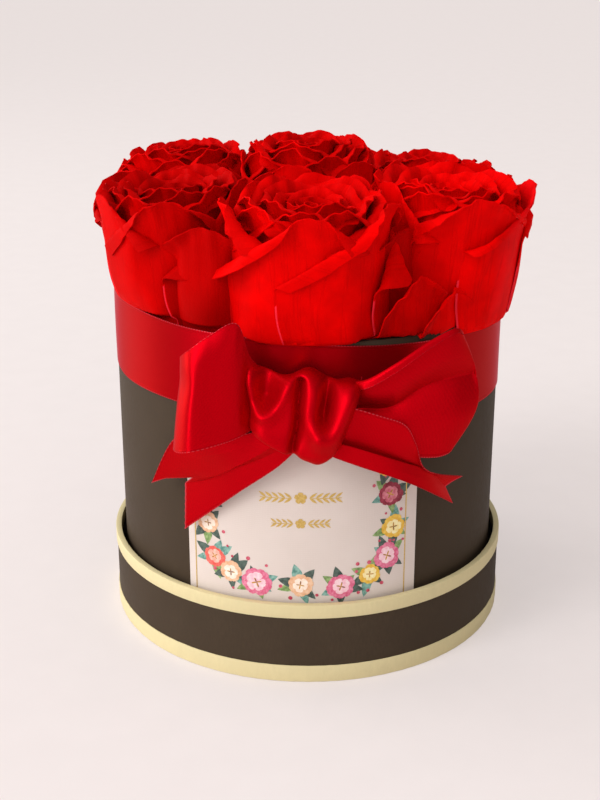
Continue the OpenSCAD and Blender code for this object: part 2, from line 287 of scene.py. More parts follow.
@dataclass(frozen=True)
class RosePetal(Finish):
    """Preserved rose petal: velvety red, with faint veins that fan out from the base."""

    name: str = "rose_petal_velvet"
    colour: str = "#F40000"
    deep: str = "#9C0000"
    edge: str = "#FF3A52"
    sheen: str = "#FF0000"
    vein: float = 4.5 * MM
    vein_width: float = 0.028
    vein_stretch: tuple[float, float, float] = (1.0, 0.05, 1.0)
    velvet: float = 0.25 * MM
    patch: float = 9 * MM
    relief: float = 0.12 * MM

    def inputs(self, tree: bpy.types.NodeTree) -> dict[str, Any]:
        """Lays out the nodes.

        Args:
            tree: Node tree that gets them.

        Returns:
            Inputs of the shader by name.
        """
        coords = add_node(tree, "ShaderNodeTexCoord").outputs
        # Veins: thin uneven lines that run from base to tip
        drawn = {"Vector": coords["UV"], "Scale": self.vein_stretch}
        streaks = add_node(tree, "ShaderNodeMapping", drawn).outputs[0]
        fan = {"Vector": streaks, "Scale": 1 / self.vein, "Detail": 3.0, "Roughness": 0.6}
        veins = add_node(tree, "ShaderNodeTexNoise", fan).outputs["Fac"]
        middle = add_node(tree, "ShaderNodeMath", {0: veins, 1: 0.5}, operation="SUBTRACT").outputs[0]
        off_middle = add_node(tree, "ShaderNodeMath", {0: middle}, operation="ABSOLUTE").outputs[0]
        thin = {0: off_middle, 2: self.vein_width, 3: 1.0, 4: 0.0}
        line = add_node(tree, "ShaderNodeMapRange", thin).outputs[0]
        faint = add_node(tree, "ShaderNodeMath", {0: line, 1: 0.2}, operation="MULTIPLY").outputs[0]
        # Patches of deeper dye, and a velvet grain that keeps the petal from shining
        skin, velvet = (
            add_node(
                tree, "ShaderNodeTexNoise", {"Vector": coords["Object"], "Scale": 1 / size, "Detail": detail}
            ).outputs["Fac"]
            for size, detail in ((self.patch, 4.0), (self.velvet, 2.0))
        )
        patches = add_node(tree, "ShaderNodeMapRange", {0: skin, **NOISE_SPAN, 4: 0.4}).outputs[0]
        # The tone attribute holds painted shade (petal feet and sides, gaps, inner rings, whole blooms) and
        # random tone
        tone = add_node(tree, "ShaderNodeAttribute", attribute_name="tone").outputs["Fac"]
        # Painted highlight: a thin pale line along the free edges, where the tone falls far below zero
        pale = {0: tone, 1: -1.0, 2: -0.2, 3: 0.5, 4: 0.0}
        rim = add_node(tree, "ShaderNodeMapRange", pale).outputs[0]
        tint: Any = linear(self.colour)
        for layer, colour in zip((patches, tone, faint, rim), (self.deep, self.deep, self.deep, self.edge)):
            mix = {0: layer, 6: tint, 7: linear(colour)}
            tint = add_node(tree, "ShaderNodeMix", mix, data_type="RGBA").outputs[2]
        sunk = {0: line, 1: -0.8, 2: velvet}
        height = add_node(tree, "ShaderNodeMath", sunk, operation="MULTIPLY_ADD").outputs[0]
        raised = {"Height": height, "Strength": 0.35, "Distance": self.relief}
        return {
            "Base Color": tint,
            "Normal": add_node(tree, "ShaderNodeBump", raised).outputs[0],
            "Roughness": 0.65,
            "Specular IOR Level": 0.02,
            "Sheen Weight": 0.5,
            "Sheen Roughness": 0.5,
            "Sheen Tint": linear(self.sheen),
        }


@dataclass(frozen=True)
class LinenCard(Finish):
    """Coated card with an embossed linen finish: pale, satin, with fine upright and level lines."""

    name: str = "label_linen_card"
    colour: str = "#DBCEC6"
    line_colour: str = "#D3C5BC"
    thread: float = 0.6 * MM
    level_thread: float = 1.3
    cloud: float = 18 * MM
    relief: float = 0.04 * MM

    def inputs(self, tree: bpy.types.NodeTree) -> dict[str, Any]:
        """Lays out the nodes.

        Args:
            tree: Node tree that gets them.

        Returns:
            Inputs of the shader by name.
        """
        uv = add_node(tree, "ShaderNodeTexCoord").outputs["UV"]
        # Crossing thread lines that show as a weave where the light is low
        upright, level = (
            add_node(
                tree,
                "ShaderNodeTexWave",
                {"Vector": uv, "Scale": band_scale(period), "Distortion": 0.8, "Detail": 1.5},
                bands_direction=way,
            ).outputs["Fac"]
            for period, way in ((self.thread, "X"), (self.thread * self.level_thread, "Y"))
        )
        weave = add_node(tree, "ShaderNodeMath", {0: upright, 1: level}, operation="MULTIPLY").outputs[0]
        # Faint clouds, which keep the bare middle of the card from looking flat
        broad = {"Vector": uv, "Scale": 1 / self.cloud, "Detail": 3.0}
        noise = add_node(tree, "ShaderNodeTexNoise", broad).outputs["Fac"]
        faint = {0: noise, **NARROW_SPAN, 3: 0.2, 4: 0.8}
        clouds = add_node(tree, "ShaderNodeMapRange", faint).outputs[0]
        tint: Any = linear(self.colour)
        for layer, colour in ((clouds, self.line_colour), (weave, self.colour)):
            mix = {0: layer, 6: tint, 7: linear(colour)}
            tint = add_node(tree, "ShaderNodeMix", mix, data_type="RGBA").outputs[2]
        raised = {"Height": weave, "Strength": 0.4, "Distance": self.relief}
        return {
            "Base Color": tint,
            "Normal": add_node(tree, "ShaderNodeBump", raised).outputs[0],
            "Roughness": 0.48,
            "Specular IOR Level": 0.4,
        }


@dataclass(frozen=True)
class PrintInk(Finish):
    """Printed watercolour ink: one hue that pools darker and paler."""

    colour: str
    second: str
    pool: float = 1.6 * MM

    def inputs(self, tree: bpy.types.NodeTree) -> dict[str, Any]:
        """Lays out the nodes.

        Args:
            tree: Node tree that gets them.

        Returns:
            Inputs of the shader by name.
        """
        place = add_node(tree, "ShaderNodeTexCoord").outputs["Object"]
        # Pools of wet ink, so that a petal shades like brushwork
        pools = {"Vector": place, "Scale": 1 / self.pool, "Detail": 3.0, "Roughness": 0.6}
        wash = add_node(tree, "ShaderNodeTexNoise", pools).outputs["Fac"]
        share = add_node(tree, "ShaderNodeMapRange", {0: wash, **NARROW_SPAN}).outputs[0]
        mix = {0: share, 6: linear(self.colour), 7: linear(self.second)}
        return {
            "Base Color": add_node(tree, "ShaderNodeMix", mix, data_type="RGBA").outputs[2],
            "Roughness": 0.5,
            "Specular IOR Level": 0.35,
        }


@dataclass(frozen=True)
class GoldFoil(Finish):
    """Hot-stamped gold foil: thin bright metal with a fine pebble from the card under it."""

    name: str = "gold_foil"
    colour: str = "#DDBE74"
    shade: str = "#C4A254"
    pebble: float = 0.6 * MM
    relief: float = 0.03 * MM

    def inputs(self, tree: bpy.types.NodeTree) -> dict[str, Any]:
        """Lays out the nodes.

        Args:
            tree: Node tree that gets them.

        Returns:
            Inputs of the shader by name.
        """
        place = add_node(tree, "ShaderNodeTexCoord").outputs["Object"]
        # Pebbles that break the shine up, so that the foil glints
        fine = {"Vector": place, "Scale": 1 / self.pebble, "Detail": 3.0}
        grain = add_node(tree, "ShaderNodeTexNoise", fine).outputs["Fac"]
        share = add_node(tree, "ShaderNodeMapRange", {0: grain, **NOISE_SPAN}).outputs[0]
        mix = {0: share, 6: linear(self.shade), 7: linear(self.colour)}
        uneven = {0: grain, **NOISE_SPAN, 3: 0.3, 4: 0.45}
        raised = {"Height": grain, "Strength": 0.3, "Distance": self.relief}
        return {
            "Base Color": add_node(tree, "ShaderNodeMix", mix, data_type="RGBA").outputs[2],
            "Roughness": add_node(tree, "ShaderNodeMapRange", uneven).outputs[0],
            "Normal": add_node(tree, "ShaderNodeBump", raised).outputs[0],
            "Metallic": 0.7,
        }


@dataclass(frozen=True)
class FloorCloth(Finish):
    """Pale cloth that the box stands on."""

    name: str = "pale_cloth_floor"
    colour: str = "#EDE4E2"
    second: str = "#F1E8E6"
    patch: float = 1 / 60
    glow: float = 0.5

    def shader(self, tree: bpy.types.NodeTree) -> Socket:
        """Lays out the nodes.

        Args:
            tree: Node tree that gets them.

        Returns:
            The shader.
        """
        place = add_node(tree, "ShaderNodeTexCoord").outputs["Object"]
        # Faint patches, so that the cloth isn't one flat tint
        soft = {"Vector": place, "Scale": 1 / self.patch, "Detail": 4.0}
        patches = add_node(tree, "ShaderNodeTexNoise", soft).outputs["Fac"]
        mix = {0: patches, 6: linear(self.colour), 7: linear(self.second)}
        tint = add_node(tree, "ShaderNodeMix", mix, data_type="RGBA").outputs[2]
        matt = {"Base Color": tint, "Roughness": 0.9, "Specular IOR Level": 0.1}
        cloth = add_node(tree, "ShaderNodeBsdfPrincipled", matt).outputs[0]
        # Part of the cloth's brightness is fixed for the camera, so that the backdrop stays even
        glow = add_node(tree, "ShaderNodeEmission", {"Color": tint}).outputs[0]
        seen = add_node(tree, "ShaderNodeLightPath").outputs["Is Camera Ray"]
        share = add_node(tree, "ShaderNodeMath", {0: seen, 1: self.glow}, operation="MULTIPLY").outputs[0]
        return add_node(tree, "ShaderNodeMixShader", {0: share, 1: cloth, 2: glow}).outputs[0]


def through(points: Any, at: np.ndarray) -> np.ndarray:
    """Smooth line or surface through a list of points.

    Args:
        points: Points, or rows of points, that are reached at 0, 1, 2 and so on.
        at: Places along the list.

    Returns:
        One point, or row of points, for each place.
    """
    rows = np.asarray(points, dtype=float)
    last = len(rows) - 1
    index = np.clip(np.floor(at).astype(int), 0, last - 1)
    share = (np.asarray(at) - index).reshape((-1,) + (1,) * (rows.ndim - 1))
    before, here = rows[np.maximum(index - 1, 0)], rows[index]
    after, beyond = rows[index + 1], rows[np.minimum(index + 2, last)]
    cubic = 3 * (here - after) + beyond - before
    square = 2 * before - 5 * here + 4 * after - beyond
    return here + 0.5 * share * ((after - before) + share * (square + share * cubic))


def smooth_step(x: np.ndarray, low: float, high: float) -> np.ndarray:
    """Eases from 0 at low to 1 at high."""
    t = np.clip((x - low) / (high - low), 0, 1)
    return t * t * (3 - 2 * t)


def grid_normals(points: np.ndarray) -> np.ndarray:
    """Unit normals of a grid of points.

    Args:
        points: Grid of shape (columns, rows, 3).

    Returns:
        Normals of the same shape.
    """
    normal = np.cross(np.gradient(points, axis=0), np.gradient(points, axis=1))
    size = np.linalg.norm(normal, axis=2, keepdims=True)
    return normal / np.maximum(size, 1e-12)


def link(piece: bpy.types.Object) -> bpy.types.Object:
    """Puts an object in the scene."""
    bpy.context.scene.collection.objects.link(piece)
    return piece


@dataclass
class MeshParts:
    """Vertices, faces, texture places and tones gathered for one mesh."""

    points: list[np.ndarray] = field(default_factory=list)
    faces: list[np.ndarray] = field(default_factory=list)
    places: list[np.ndarray] = field(default_factory=list)
    tones: list[np.ndarray] = field(default_factory=list)
    count: int = 0

    def add(self, points: np.ndarray, faces: np.ndarray, places: np.ndarray, tone: Any = 0.0) -> None:
        """Adds a patch.

        Args:
            points: Vertices in metres.
            faces: Four vertex numbers a face.
            places: Texture place of each vertex.
            tone: How deep the colour is, from 0 to 1, even or one for each vertex.
        """
        self.points.append(points)
        self.faces.append(faces + self.count)
        self.places.append(places)
        self.tones.append(np.broadcast_to(tone, len(points)))
        self.count += len(points)

    def add_sheet(
        self, surface: np.ndarray, thickness: float, places: np.ndarray, tone: Any = 0.0
    ) -> None:
        """Adds a closed sheet of even thickness.

        Args:
            surface: Middle surface in metres, of shape (columns, rows, 3).
            thickness: Thickness in metres.
            places: Texture places, of shape (columns, rows, 2).
            tone: How deep the colour is, even or of shape (columns, rows).
        """
        columns, rows = surface.shape[:2]
        tone = np.tile(np.broadcast_to(tone, (columns, rows)).ravel(), 2)
        half = grid_normals(surface) * thickness / 2
        numbers = np.arange(columns * rows).reshape(columns, rows)
        a, b = numbers[:-1, :-1].ravel(), numbers[1:, :-1].ravel()
        c, d = numbers[1:, 1:].ravel(), numbers[:-1, 1:].ravel()
        rim = np.concatenate([numbers[:, 0], numbers[-1, 1:], numbers[-2::-1, -1], numbers[0, -2:0:-1]])
        following = np.roll(rim, -1)
        other = columns * rows
        faces = np.concatenate(
            [
                np.stack([a, b, c, d], 1),
                np.stack([a, d, c, b], 1) + other,
                np.stack([rim, rim + other, following + other, following], 1),
            ]
        )
        points = np.concatenate([(surface + half).reshape(-1, 3), (surface - half).reshape(-1, 3)])
        flat = places.reshape(-1, 2)
        self.add(points, faces, np.concatenate([flat, flat]), tone)

    def add_lathe(self, outline: Outline, steps: int, ripple: Ripple | None = None) -> None:
        """Adds a closed ring turned about the Z axis.

        Args:
            outline: Closed outline of radius and height in metres, counter-clockwise.
            steps: Number of steps round the ring.
            ripple: Function of the angles that gives what is added to the radius.
        """
        line = np.asarray(outline)
        count = len(line)
        angles = np.arange(steps) * 2 * np.pi / steps
        swell = np.zeros(steps) if ripple is None else ripple(angles)
        radius = line[None, :, 0] + swell[:, None]
        x = radius * np.cos(angles)[:, None]
        y = radius * np.sin(angles)[:, None]
        z = np.broadcast_to(line[None, :, 1], x.shape)
        numbers = np.arange(steps * count).reshape(steps, count)
        nxt = np.roll(numbers, -1, axis=0)
        faces = np.stack(
            [numbers, nxt, np.roll(nxt, -1, axis=1), np.roll(numbers, -1, axis=1)], axis=2
        ).reshape(-1, 4)
        places = np.stack([np.broadcast_to(angles[:, None], x.shape) * line[:, 0].max(), z], axis=2)
        self.add(np.stack([x, y, z], 2).reshape(-1, 3), faces, places.reshape(-1, 2))

    def build(self, name: str, material: bpy.types.Material, sharp: float = 40) -> bpy.types.Object:
        """Makes the object.

        Args:
            name: Name of the piece.
            material: Its finish.
            sharp: Angle in degrees past which an edge is drawn sharp.

        Returns:
            The new object, at the origin.
        """
        points = np.concatenate(self.points)
        faces = np.concatenate(self.faces)
        places = np.concatenate(self.places)
        mesh = bpy.data.meshes.new(name)
        mesh.from_pydata(points.tolist(), [], faces.tolist())
        layer = mesh.uv_layers.new(name="flat")
        layer.data.foreach_set("uv", places[faces.ravel()].ravel())
        tone = mesh.attributes.new("tone", "FLOAT", "POINT")
        tone.data.foreach_set("value", np.concatenate(self.tones))
        mesh.polygons.foreach_set("use_smooth", np.ones(len(faces), dtype=bool))
        mesh.set_sharp_from_angle(angle=math.radians(sharp))
        mesh.materials.append(material)
        return link(bpy.data.objects.new(name, mesh))


def settle(piece: bpy.types.Object, body: Body, slot: str, *nodes: str) -> None:
    """Puts a piece on its body and hides the solids that it stands for.

    Args:
        piece: Finished piece.
        body: Body that carries it.
        slot: Material slot of the record; not used.
        nodes: Solids that it replaces.
    """
    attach(piece, body.value)
    if nodes:
        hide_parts(*nodes)
    LOG.info("%s on %s, %d faces", piece.name, body.value, len(piece.data.polygons))


def rounded(outline: Outline, radius: float, steps: int = 3) -> Outline:
    """Rounds the corners of a closed outline.

    Args:
        outline: Corners as radius and height.
        radius: Largest rounding.
        steps: Points on each rounding.

    Returns:
        The rounded outline.
    """
    corners = np.asarray(outline, dtype=float)
    result: list[tuple[float, float]] = []
    for i, corner in enumerate(corners):
        to_last, to_next = corners[i - 1] - corner, corners[(i + 1) % len(corners)] - corner
        last, following = np.linalg.norm(to_last), np.linalg.norm(to_next)
        reach = min(radius, CORNER_SHARE * last, CORNER_SHARE * following)
        start = corner + to_last / last * reach
        end = corner + to_next / following * reach
        for t in np.linspace(0, 1, steps):
            spot = (1 - t) ** 2 * start + 2 * t * (1 - t) * corner + t**2 * end
            result.append((float(spot[0]), float(spot[1])))
    return result


@dataclass
class CoveredBoard:
    """Lid and box: the covering paper and the edging tape that show, and the board behind them."""

    box_r: float = 74.9 * MM
    paper: float = 0.3 * MM
    board: float = 2.0 * MM
    lid_r: float = 79.2 * MM
    edging: float = 0.4 * MM
    lid_wall: float = 1.6 * MM
    under: float = 9 * MM
    turn_in: float = 10 * MM
    bend: float = 0.35 * MM
    rim_flats: float = 0.05 * MM
    base_flats: float = 0.16 * MM
    steps: int = 320
    pleats: int = 84
    pleat_shift: float = 0.3
    pleat_share: tuple[float, float] = (0.3, 1.0)

    def pleated(self, depth: float, seed: int) -> Ripple:
        """Small flats of folded tape round a corner.

        Args:
            depth: How far the flats stand in.
            seed: Seed of their uneven sizes.

        Returns:
            Function of the angles round the ring.
        """
        rng = np.random.default_rng(seed)
        shift = rng.uniform(-self.pleat_shift, self.pleat_shift, self.pleats)
        edges = np.sort(np.arange(self.pleats) + shift)
        edges = edges * 2 * np.pi / self.pleats
        heights = rng.uniform(*self.pleat_share, self.pleats)

        def ripple(angles: np.ndarray) -> np.ndarray:
            """Radius change at each angle."""
            which = np.searchsorted(edges, angles, side="right") - 1
            start = edges[which]
            following = edges[(which + 1) % self.pleats]
            end = np.where(which == self.pleats - 1, edges[0] + 2 * np.pi, following)
            wrapped = np.where(angles < start, angles + 2 * np.pi, angles)
            share = np.clip((wrapped - start) / (end - start), 0, 1)
            return -depth * heights[which] * 4 * share * (1 - share)

        return ripple

    def outlines(self) -> dict[str, Outline]:
        """Outlines of the skins, as radius and height.

        Returns:
            Each outline by the name of the solid that it stands for.
        """
        rim_leg, lid_top = (corner[2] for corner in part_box("lid_rim_edging"))
        base_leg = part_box("lid_base_edging")[1][2]
        box_low, box_top = (corner[2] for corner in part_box("box_wall_paper"))
        paper_r = self.lid_r - self.edging
        inner_r = paper_r - self.lid_wall
        inside = self.box_r - self.paper - self.board
        return {
            "lid_rim_edging": [
                (inner_r - self.paper, rim_leg), (inner_r, rim_leg),
                (inner_r, lid_top - self.edging), (paper_r, lid_top - self.edging),
                (paper_r, rim_leg), (self.lid_r, rim_leg),
                (self.lid_r, lid_top), (inner_r - self.paper, lid_top),
            ],
            "lid_base_edging": [
                (self.lid_r - self.under, 0.0), (self.lid_r, 0.0),
                (self.lid_r, base_leg), (paper_r, base_leg),
                (paper_r, self.edging), (self.lid_r - self.under, self.edging),
            ],
            "lid_wall_paper": [
                (paper_r - self.paper, self.edging), (paper_r, self.edging),
                (paper_r, lid_top - self.edging), (paper_r - self.paper, lid_top - self.edging),
            ],
            "box_wall_paper": [
                (inside, box_low), (self.box_r, box_low),
                (self.box_r, box_top), (inside - self.paper, box_top),
                (inside - self.paper, box_top - self.turn_in), (inside, box_top - self.turn_in),
                (inside, box_top - self.paper), (self.box_r - self.paper, box_top - self.paper),
                (self.box_r - self.paper, box_low + self.paper), (inside, box_low + self.paper),
            ],
        }

    def build(self) -> None:
        """Makes the turned skins and dresses the hidden board."""
        cream = FibrePaper(
            "cream_edging_tape", "#D9CB9E", fibre=1.4 * MM, roughness=0.5, contrast=0.05, relief=0.03 * MM
        )
        foam = FibrePaper(
            "floral_foam", "#4F6B45", fibre=0.8 * MM, roughness=0.9, contrast=0.35, relief=0.3 * MM
        )
        finishes = {
            "dark_paper": FibrePaper("dark_covering_paper", "#45392D", roughness=0.6),
            "grey_board": FibrePaper(
                "grey_board", "#8A8073", fibre=2 * MM, roughness=0.8, relief=0.12 * MM
            ),
            "lining_paper": FibrePaper("lining_paper", "#5A4C40"),
            "floral_foam": foam,
            "rose_stem": FibrePaper("rose_stem_bark", "#5F7A3A", fibre=1.2 * MM, contrast=0.3),
            "cream_edging": cream,
        }
        dressed = {slot: finish.material() for slot, finish in finishes.items()}
        ripples = {
            "lid_rim_edging": self.pleated(self.rim_flats, SEED),
            "lid_base_edging": self.pleated(self.base_flats, SEED + 1),
        }
        for name, outline in self.outlines().items():
            slot = "cream_edging" if name in ripples else "dark_paper"
            body = Body.LID if name.startswith("lid") else Body.BOX
            parts = MeshParts()
            parts.add_lathe(rounded(outline, self.bend), self.steps, ripples.get(name))
            settle(parts.build(name + "_skin", dressed[slot]), body, slot, name)
        for part in frame["record"]["subparts"]:
            slot = part["material_slot"]
            if slot in dressed:
                mesh = frame["nodes"][part["node"]].data
                mesh.materials.clear()
                mesh.materials.append(dressed[slot])


class Motif(Enum):
    """Shapes that the print is made of."""

    PETAL = "petal"
    LEAF = "leaf"
    DOT = "dot"
    BAR = "bar"


# Outlines of the shapes, from their foot at the origin to a height of 1 and a width of 1
OUTLINES: dict[Motif, Outline] = {
    Motif.PETAL: (
        (0.0, 0.0), (0.18, 0.2), (0.42, 0.48), (0.5, 0.72), (0.36, 0.92), (0.12, 1.0),
        (0.0, 0.95), (-0.12, 1.0), (-0.36, 0.92), (-0.5, 0.72), (-0.42, 0.48), (-0.18, 0.2),
    ),
    Motif.LEAF: (
        (0.0, 0.0), (0.3, 0.16), (0.48, 0.38), (0.44, 0.6), (0.22, 0.84), (0.0, 1.0),
        (-0.22, 0.84), (-0.44, 0.6), (-0.48, 0.38), (-0.3, 0.16),
    ),
    Motif.DOT: tuple(
        (0.5 * math.cos(i * math.pi / 5), 0.5 + 0.5 * math.sin(i * math.pi / 5)) for i in range(10)
    ),
    Motif.BAR: ((-0.5, 0.0), (0.5, 0.0), (0.5, 1.0), (-0.5, 1.0)),
}


@dataclass(frozen=True)
class Stamp:
    """One printed shape: its foot on the card, its turn in radians, its width and its length."""

    across: float
    up: float
    turn: float
    width: float
    length: float


@dataclass
class Layer:
    """Shapes of one ink that are printed together, and how proud of the card they lie."""

    motif: Motif
    finish: Finish
    proud: float
    stamps: list[Stamp] = field(default_factory=list)

    def add(self, *stamp: float) -> None:
        """Adds a shape by the fields of its stamp."""
        self.stamps.append(Stamp(*stamp))


# Colours of a printed blossom: its outer and its inner petals, each with a second tone
BLOSSOM_INKS = (
    ("wine", "#7E1C2E", "#A83A50", "#C4586C", "#DB8E98"),
    ("rose_pink", "#D2557A", "#E58AA4", "#EFB4C2", "#F7D8DC"),
    ("coral", "#D9483F", "#E77468", "#F0A08E", "#F6C6B4"),
    ("yellow", "#DDA52E", "#EEC75A", "#F5DE90", "#FAEEC0"),
    ("peach", "#DDA47C", "#EBC4A2", "#F4DBC6", "#FAEBDD"),
)
LEAF_INKS = (
    ("teal_leaf", "#4E8278", "#8FB9AC"),
    ("green_leaf", "#5F7F45", "#9DB678"),
    ("dark_leaf", "#36453F", "#5B6D63"),
)
BERRY_INK = ("berry", "#B02C44", "#D8687C")
HEART_INK = ("flower_heart", "#6A3A22", "#D8A03C")
# Rings of a blossom from outside in: petals, length as a share of its size, and slimness
BLOSSOM_RINGS = ((6, 1.0, 0.95), (5, 0.66, 0.95), (4, 0.36, 0.3))
# Middle line of the garland, across the card and up it, in millimetres
GARLAND = (
    (-33.5, 60), (-35, 44), (-33, 27), (-22, 19), (0, 17.5), (20, 18.5), (32, 27), (34, 45), (32.5, 64),
)
# Rows of gold sprigs: height up the card in millimetres, leaf pairs on each side, and scale
SPRIG_ROWS = ((53, 5, 1.0), (43, 4, 0.85))


@dataclass
class Label:
    """Printed card on the front of the box: a garland round three sides and gold lines.

    The sizes of the printed shapes are in millimetres, some as ranges, and their turns in radians.
    """

    radius: float = 75.05 * MM
    thickness: float = 0.25 * MM
    width: float = 88.5 * MM
    height: float = 74 * MM
    low: float = 20 * MM
    turn: float = -2.2
    columns: int = 96
    rows: int = 60
    ink: float = 0.02 * MM
    blossoms: int = 13
    line_sides: tuple[float, float] = (-41.1 * MM, 39.6 * MM)
    line_width: float = 0.45 * MM
    blossom_size: tuple[float, float] = (4.2, 5.8)
    wander: float = 1.2
    leaf_length: tuple[float, float] = (6.5, 9.5)
    leaf_slim: tuple[float, float] = (0.38, 0.52)
    berry_gap: tuple[float, float] = (1.2, 3.2)
    berry_size: tuple[float, float] = (0.9, 1.7)
    leaf_sway: float = 0.4
    petal_sway: float = 0.12
    petal_growth: tuple[float, float] = (0.9, 1.08)
    star: tuple[float, float] = (2.0, 2.3)
    sprig_start: float = 3.2
    sprig_step: float = 2.3
    sprig_leaf: tuple[float, float] = (1.0, 3.4)
    sprig_slant: float = 0.65
    stalk: float = 0.3

    def middle_angle(self) -> float:
        """Angle of the card's middle round the box, in radians."""
        return math.radians(270 + self.turn)

    def card(self) -> None:
        """Makes the card."""
        across = np.linspace(-self.width / 2, self.width / 2, self.columns)[:, None]
        up = np.linspace(0, self.height, self.rows)[None, :]
        across, up = np.broadcast_arrays(across, up)
        middle = self.radius + self.thickness / 2
        angle = self.middle_angle() + across / (self.radius + self.thickness)
        surface = np.stack([middle * np.cos(angle), middle * np.sin(angle), self.low + up], axis=-1)
        parts = MeshParts()
        parts.add_sheet(surface, self.thickness, np.stack([across, up], axis=2))
        settle(parts.build("label_card", LinenCard().material()), Body.BOX, "label_card", "label")

    def garland(self) -> list[Layer]:
        """Lays out the blossoms with their leaves and berries.

        Returns:
            Their layers from the card up.
        """
        rng = np.random.default_rng(SEED)
        leaves = [
            Layer(Motif.LEAF, PrintInk(*ink), level * self.ink) for level, ink in enumerate(LEAF_INKS, 1)
        ]
        berries = Layer(Motif.DOT, PrintInk(*BERRY_INK), 4 * self.ink)
        outer, inner = (
            [Layer(Motif.PETAL, PrintInk(ink[0] + end, *ink[at : at + 2]), proud) for ink in BLOSSOM_INKS]
            for end, at, proud in (("_outer", 1, 5 * self.ink), ("_inner", 3, 6 * self.ink))
        )
        hearts = Layer(Motif.DOT, PrintInk(*HEART_INK), 7 * self.ink)
        line = through(GARLAND, np.linspace(0, len(GARLAND) - 1, self.blossoms)) * MM
        for i, spot in enumerate(line):
            colour = (2 * i + i // 3) % len(BLOSSOM_INKS)
            size = rng.uniform(*self.blossom_size) * MM
            x, y = spot + rng.uniform(-self.wander, self.wander, 2) * MM
            for k in range(6):
                leaf = leaves[int(rng.integers(len(leaves)))]
                way = k * math.pi / 3 + rng.uniform(-self.leaf_sway, self.leaf_sway)
                long = rng.uniform(*self.leaf_length) * MM
                leaf.add(x, y, way, long * rng.uniform(*self.leaf_slim), long)
            for _ in range(3):
                way = rng.uniform(0, 2 * math.pi)
                reach = size + rng.uniform(*self.berry_gap) * MM
                dot = rng.uniform(*self.berry_size) * MM
                berries.add(x - reach * math.sin(way), y + reach * math.cos(way), 0, dot, dot)
            start = rng.uniform(0, math.pi)
            rings = zip((outer[colour], inner[colour], hearts), BLOSSOM_RINGS)
            for petals, (count, share, slim) in rings:
                for k in range(count):
                    way = start + share + k * 2 * math.pi / count
                    way = way + rng.uniform(-self.petal_sway, self.petal_sway)
                    long = size * share * rng.uniform(*self.petal_growth)
                    petals.add(x, y, way, long * slim, long)
        return [*leaves, berries, *outer, *inner, hearts]

    def gilding(self) -> list[Layer]:
        """Lays out the gold: a line along each side, and two rows of sprigs.

        Returns:
            Its layers from the card up.
        """
        foil = GoldFoil()
        bars = Layer(Motif.BAR, foil, 3 * self.ink)
        sprigs = Layer(Motif.LEAF, foil, 3 * self.ink)
        stars = Layer(Motif.PETAL, foil, 4 * self.ink)
        for side in self.line_sides:
            bars.add(side, 0.0, 0.0, self.line_width, self.height)
        for level, pairs, scale in SPRIG_ROWS:
            star, leaf = ([part * scale * MM for part in size] for size in (self.star, self.sprig_leaf))
            for k in range(5):
                stars.add(0.0, level * MM, k * 2 * math.pi / 5, *star)
            low, step = (level - self.stalk / 2) * MM, self.sprig_step * scale * MM
            for side in (-1, 1):
                for k in range(pairs):
                    foot = side * scale * (self.sprig_start + self.sprig_step * k) * MM
                    bars.add(foot, low, -side * math.pi / 2, self.stalk * MM, step)
                    for lift in (-1, 1):
                        way = -side * (math.pi / 2 - self.sprig_slant * lift)
                        sprigs.add(foot, level * MM, way, *leaf)
        return [bars, sprigs, stars]

    def stamping(self) -> bpy.types.NodeTree:
        """Makes the node tree that sets a shape on points and wraps it round the card.

        Returns:
            The Geometry Nodes tree.
        """
        tree = bpy.data.node_groups.new("wrapped_print", "GeometryNodeTree")
        sockets = {
            "Geometry": "Geometry", "Shape": "Object", "Ink": "Material",
            "Face radius": "Float", "Middle angle": "Float", "Low edge": "Float", "Proud": "Float",
        }
        for name, kind in sockets.items():
            tree.interface.new_socket(name=name, in_out="INPUT", socket_type="NodeSocket" + kind)
        tree.interface.new_socket(name="Geometry", in_out="OUTPUT", socket_type="NodeSocketGeometry")
        given = add_node(tree, "NodeGroupInput").outputs
        turn, size = (
            add_node(tree, "GeometryNodeInputNamedAttribute", {"Name": name}, data_type=kind).outputs[0]
            for name, kind in (("turn", "FLOAT"), ("size", "FLOAT_VECTOR"))
        )
        spin = add_node(tree, "ShaderNodeCombineXYZ", {2: turn}).outputs[0]
        shape = add_node(tree, "GeometryNodeObjectInfo", {"Object": given["Shape"]}).outputs["Geometry"]
        stamps = {"Points": given["Geometry"], "Instance": shape, "Rotation": spin, "Scale": size}
        stamped = add_node(tree, "GeometryNodeInstanceOnPoints", stamps).outputs[0]
        solid = add_node(tree, "GeometryNodeRealizeInstances", {0: stamped}).outputs[0]
        position = add_node(tree, "GeometryNodeInputPosition").outputs[0]
        across, up, rise = add_node(tree, "ShaderNodeSeparateXYZ", {0: position}).outputs
        face = given["Face radius"]
        swing = add_node(tree, "ShaderNodeMath", {0: across, 1: face}, operation="DIVIDE").outputs[0]
        angle, front, height = (
            add_node(tree, "ShaderNodeMath", {0: value, 1: given[name]}, operation="ADD").outputs[0]
            for value, name in ((swing, "Middle angle"), (face, "Proud"), (up, "Low edge"))
        )
        radius = add_node(tree, "ShaderNodeMath", {0: front, 1: rise}, operation="ADD").outputs[0]
        turns = [
            add_node(tree, "ShaderNodeMath", {0: angle}, operation=kind).outputs[0]
            for kind in ("COSINE", "SINE")
        ]
        x, y = (
            add_node(tree, "ShaderNodeMath", {0: radius, 1: part}, operation="MULTIPLY").outputs[0]
            for part in turns
        )
        wrapped = add_node(tree, "ShaderNodeCombineXYZ", {0: x, 1: y, 2: height}).outputs[0]
        moved = add_node(tree, "GeometryNodeSetPosition", {"Geometry": solid, "Position": wrapped})
        covered = {"Geometry": moved.outputs[0], "Material": given["Ink"]}
        inked = add_node(tree, "GeometryNodeSetMaterial", covered)
        add_node(tree, "NodeGroupOutput", {0: inked.outputs[0]})
        return tree

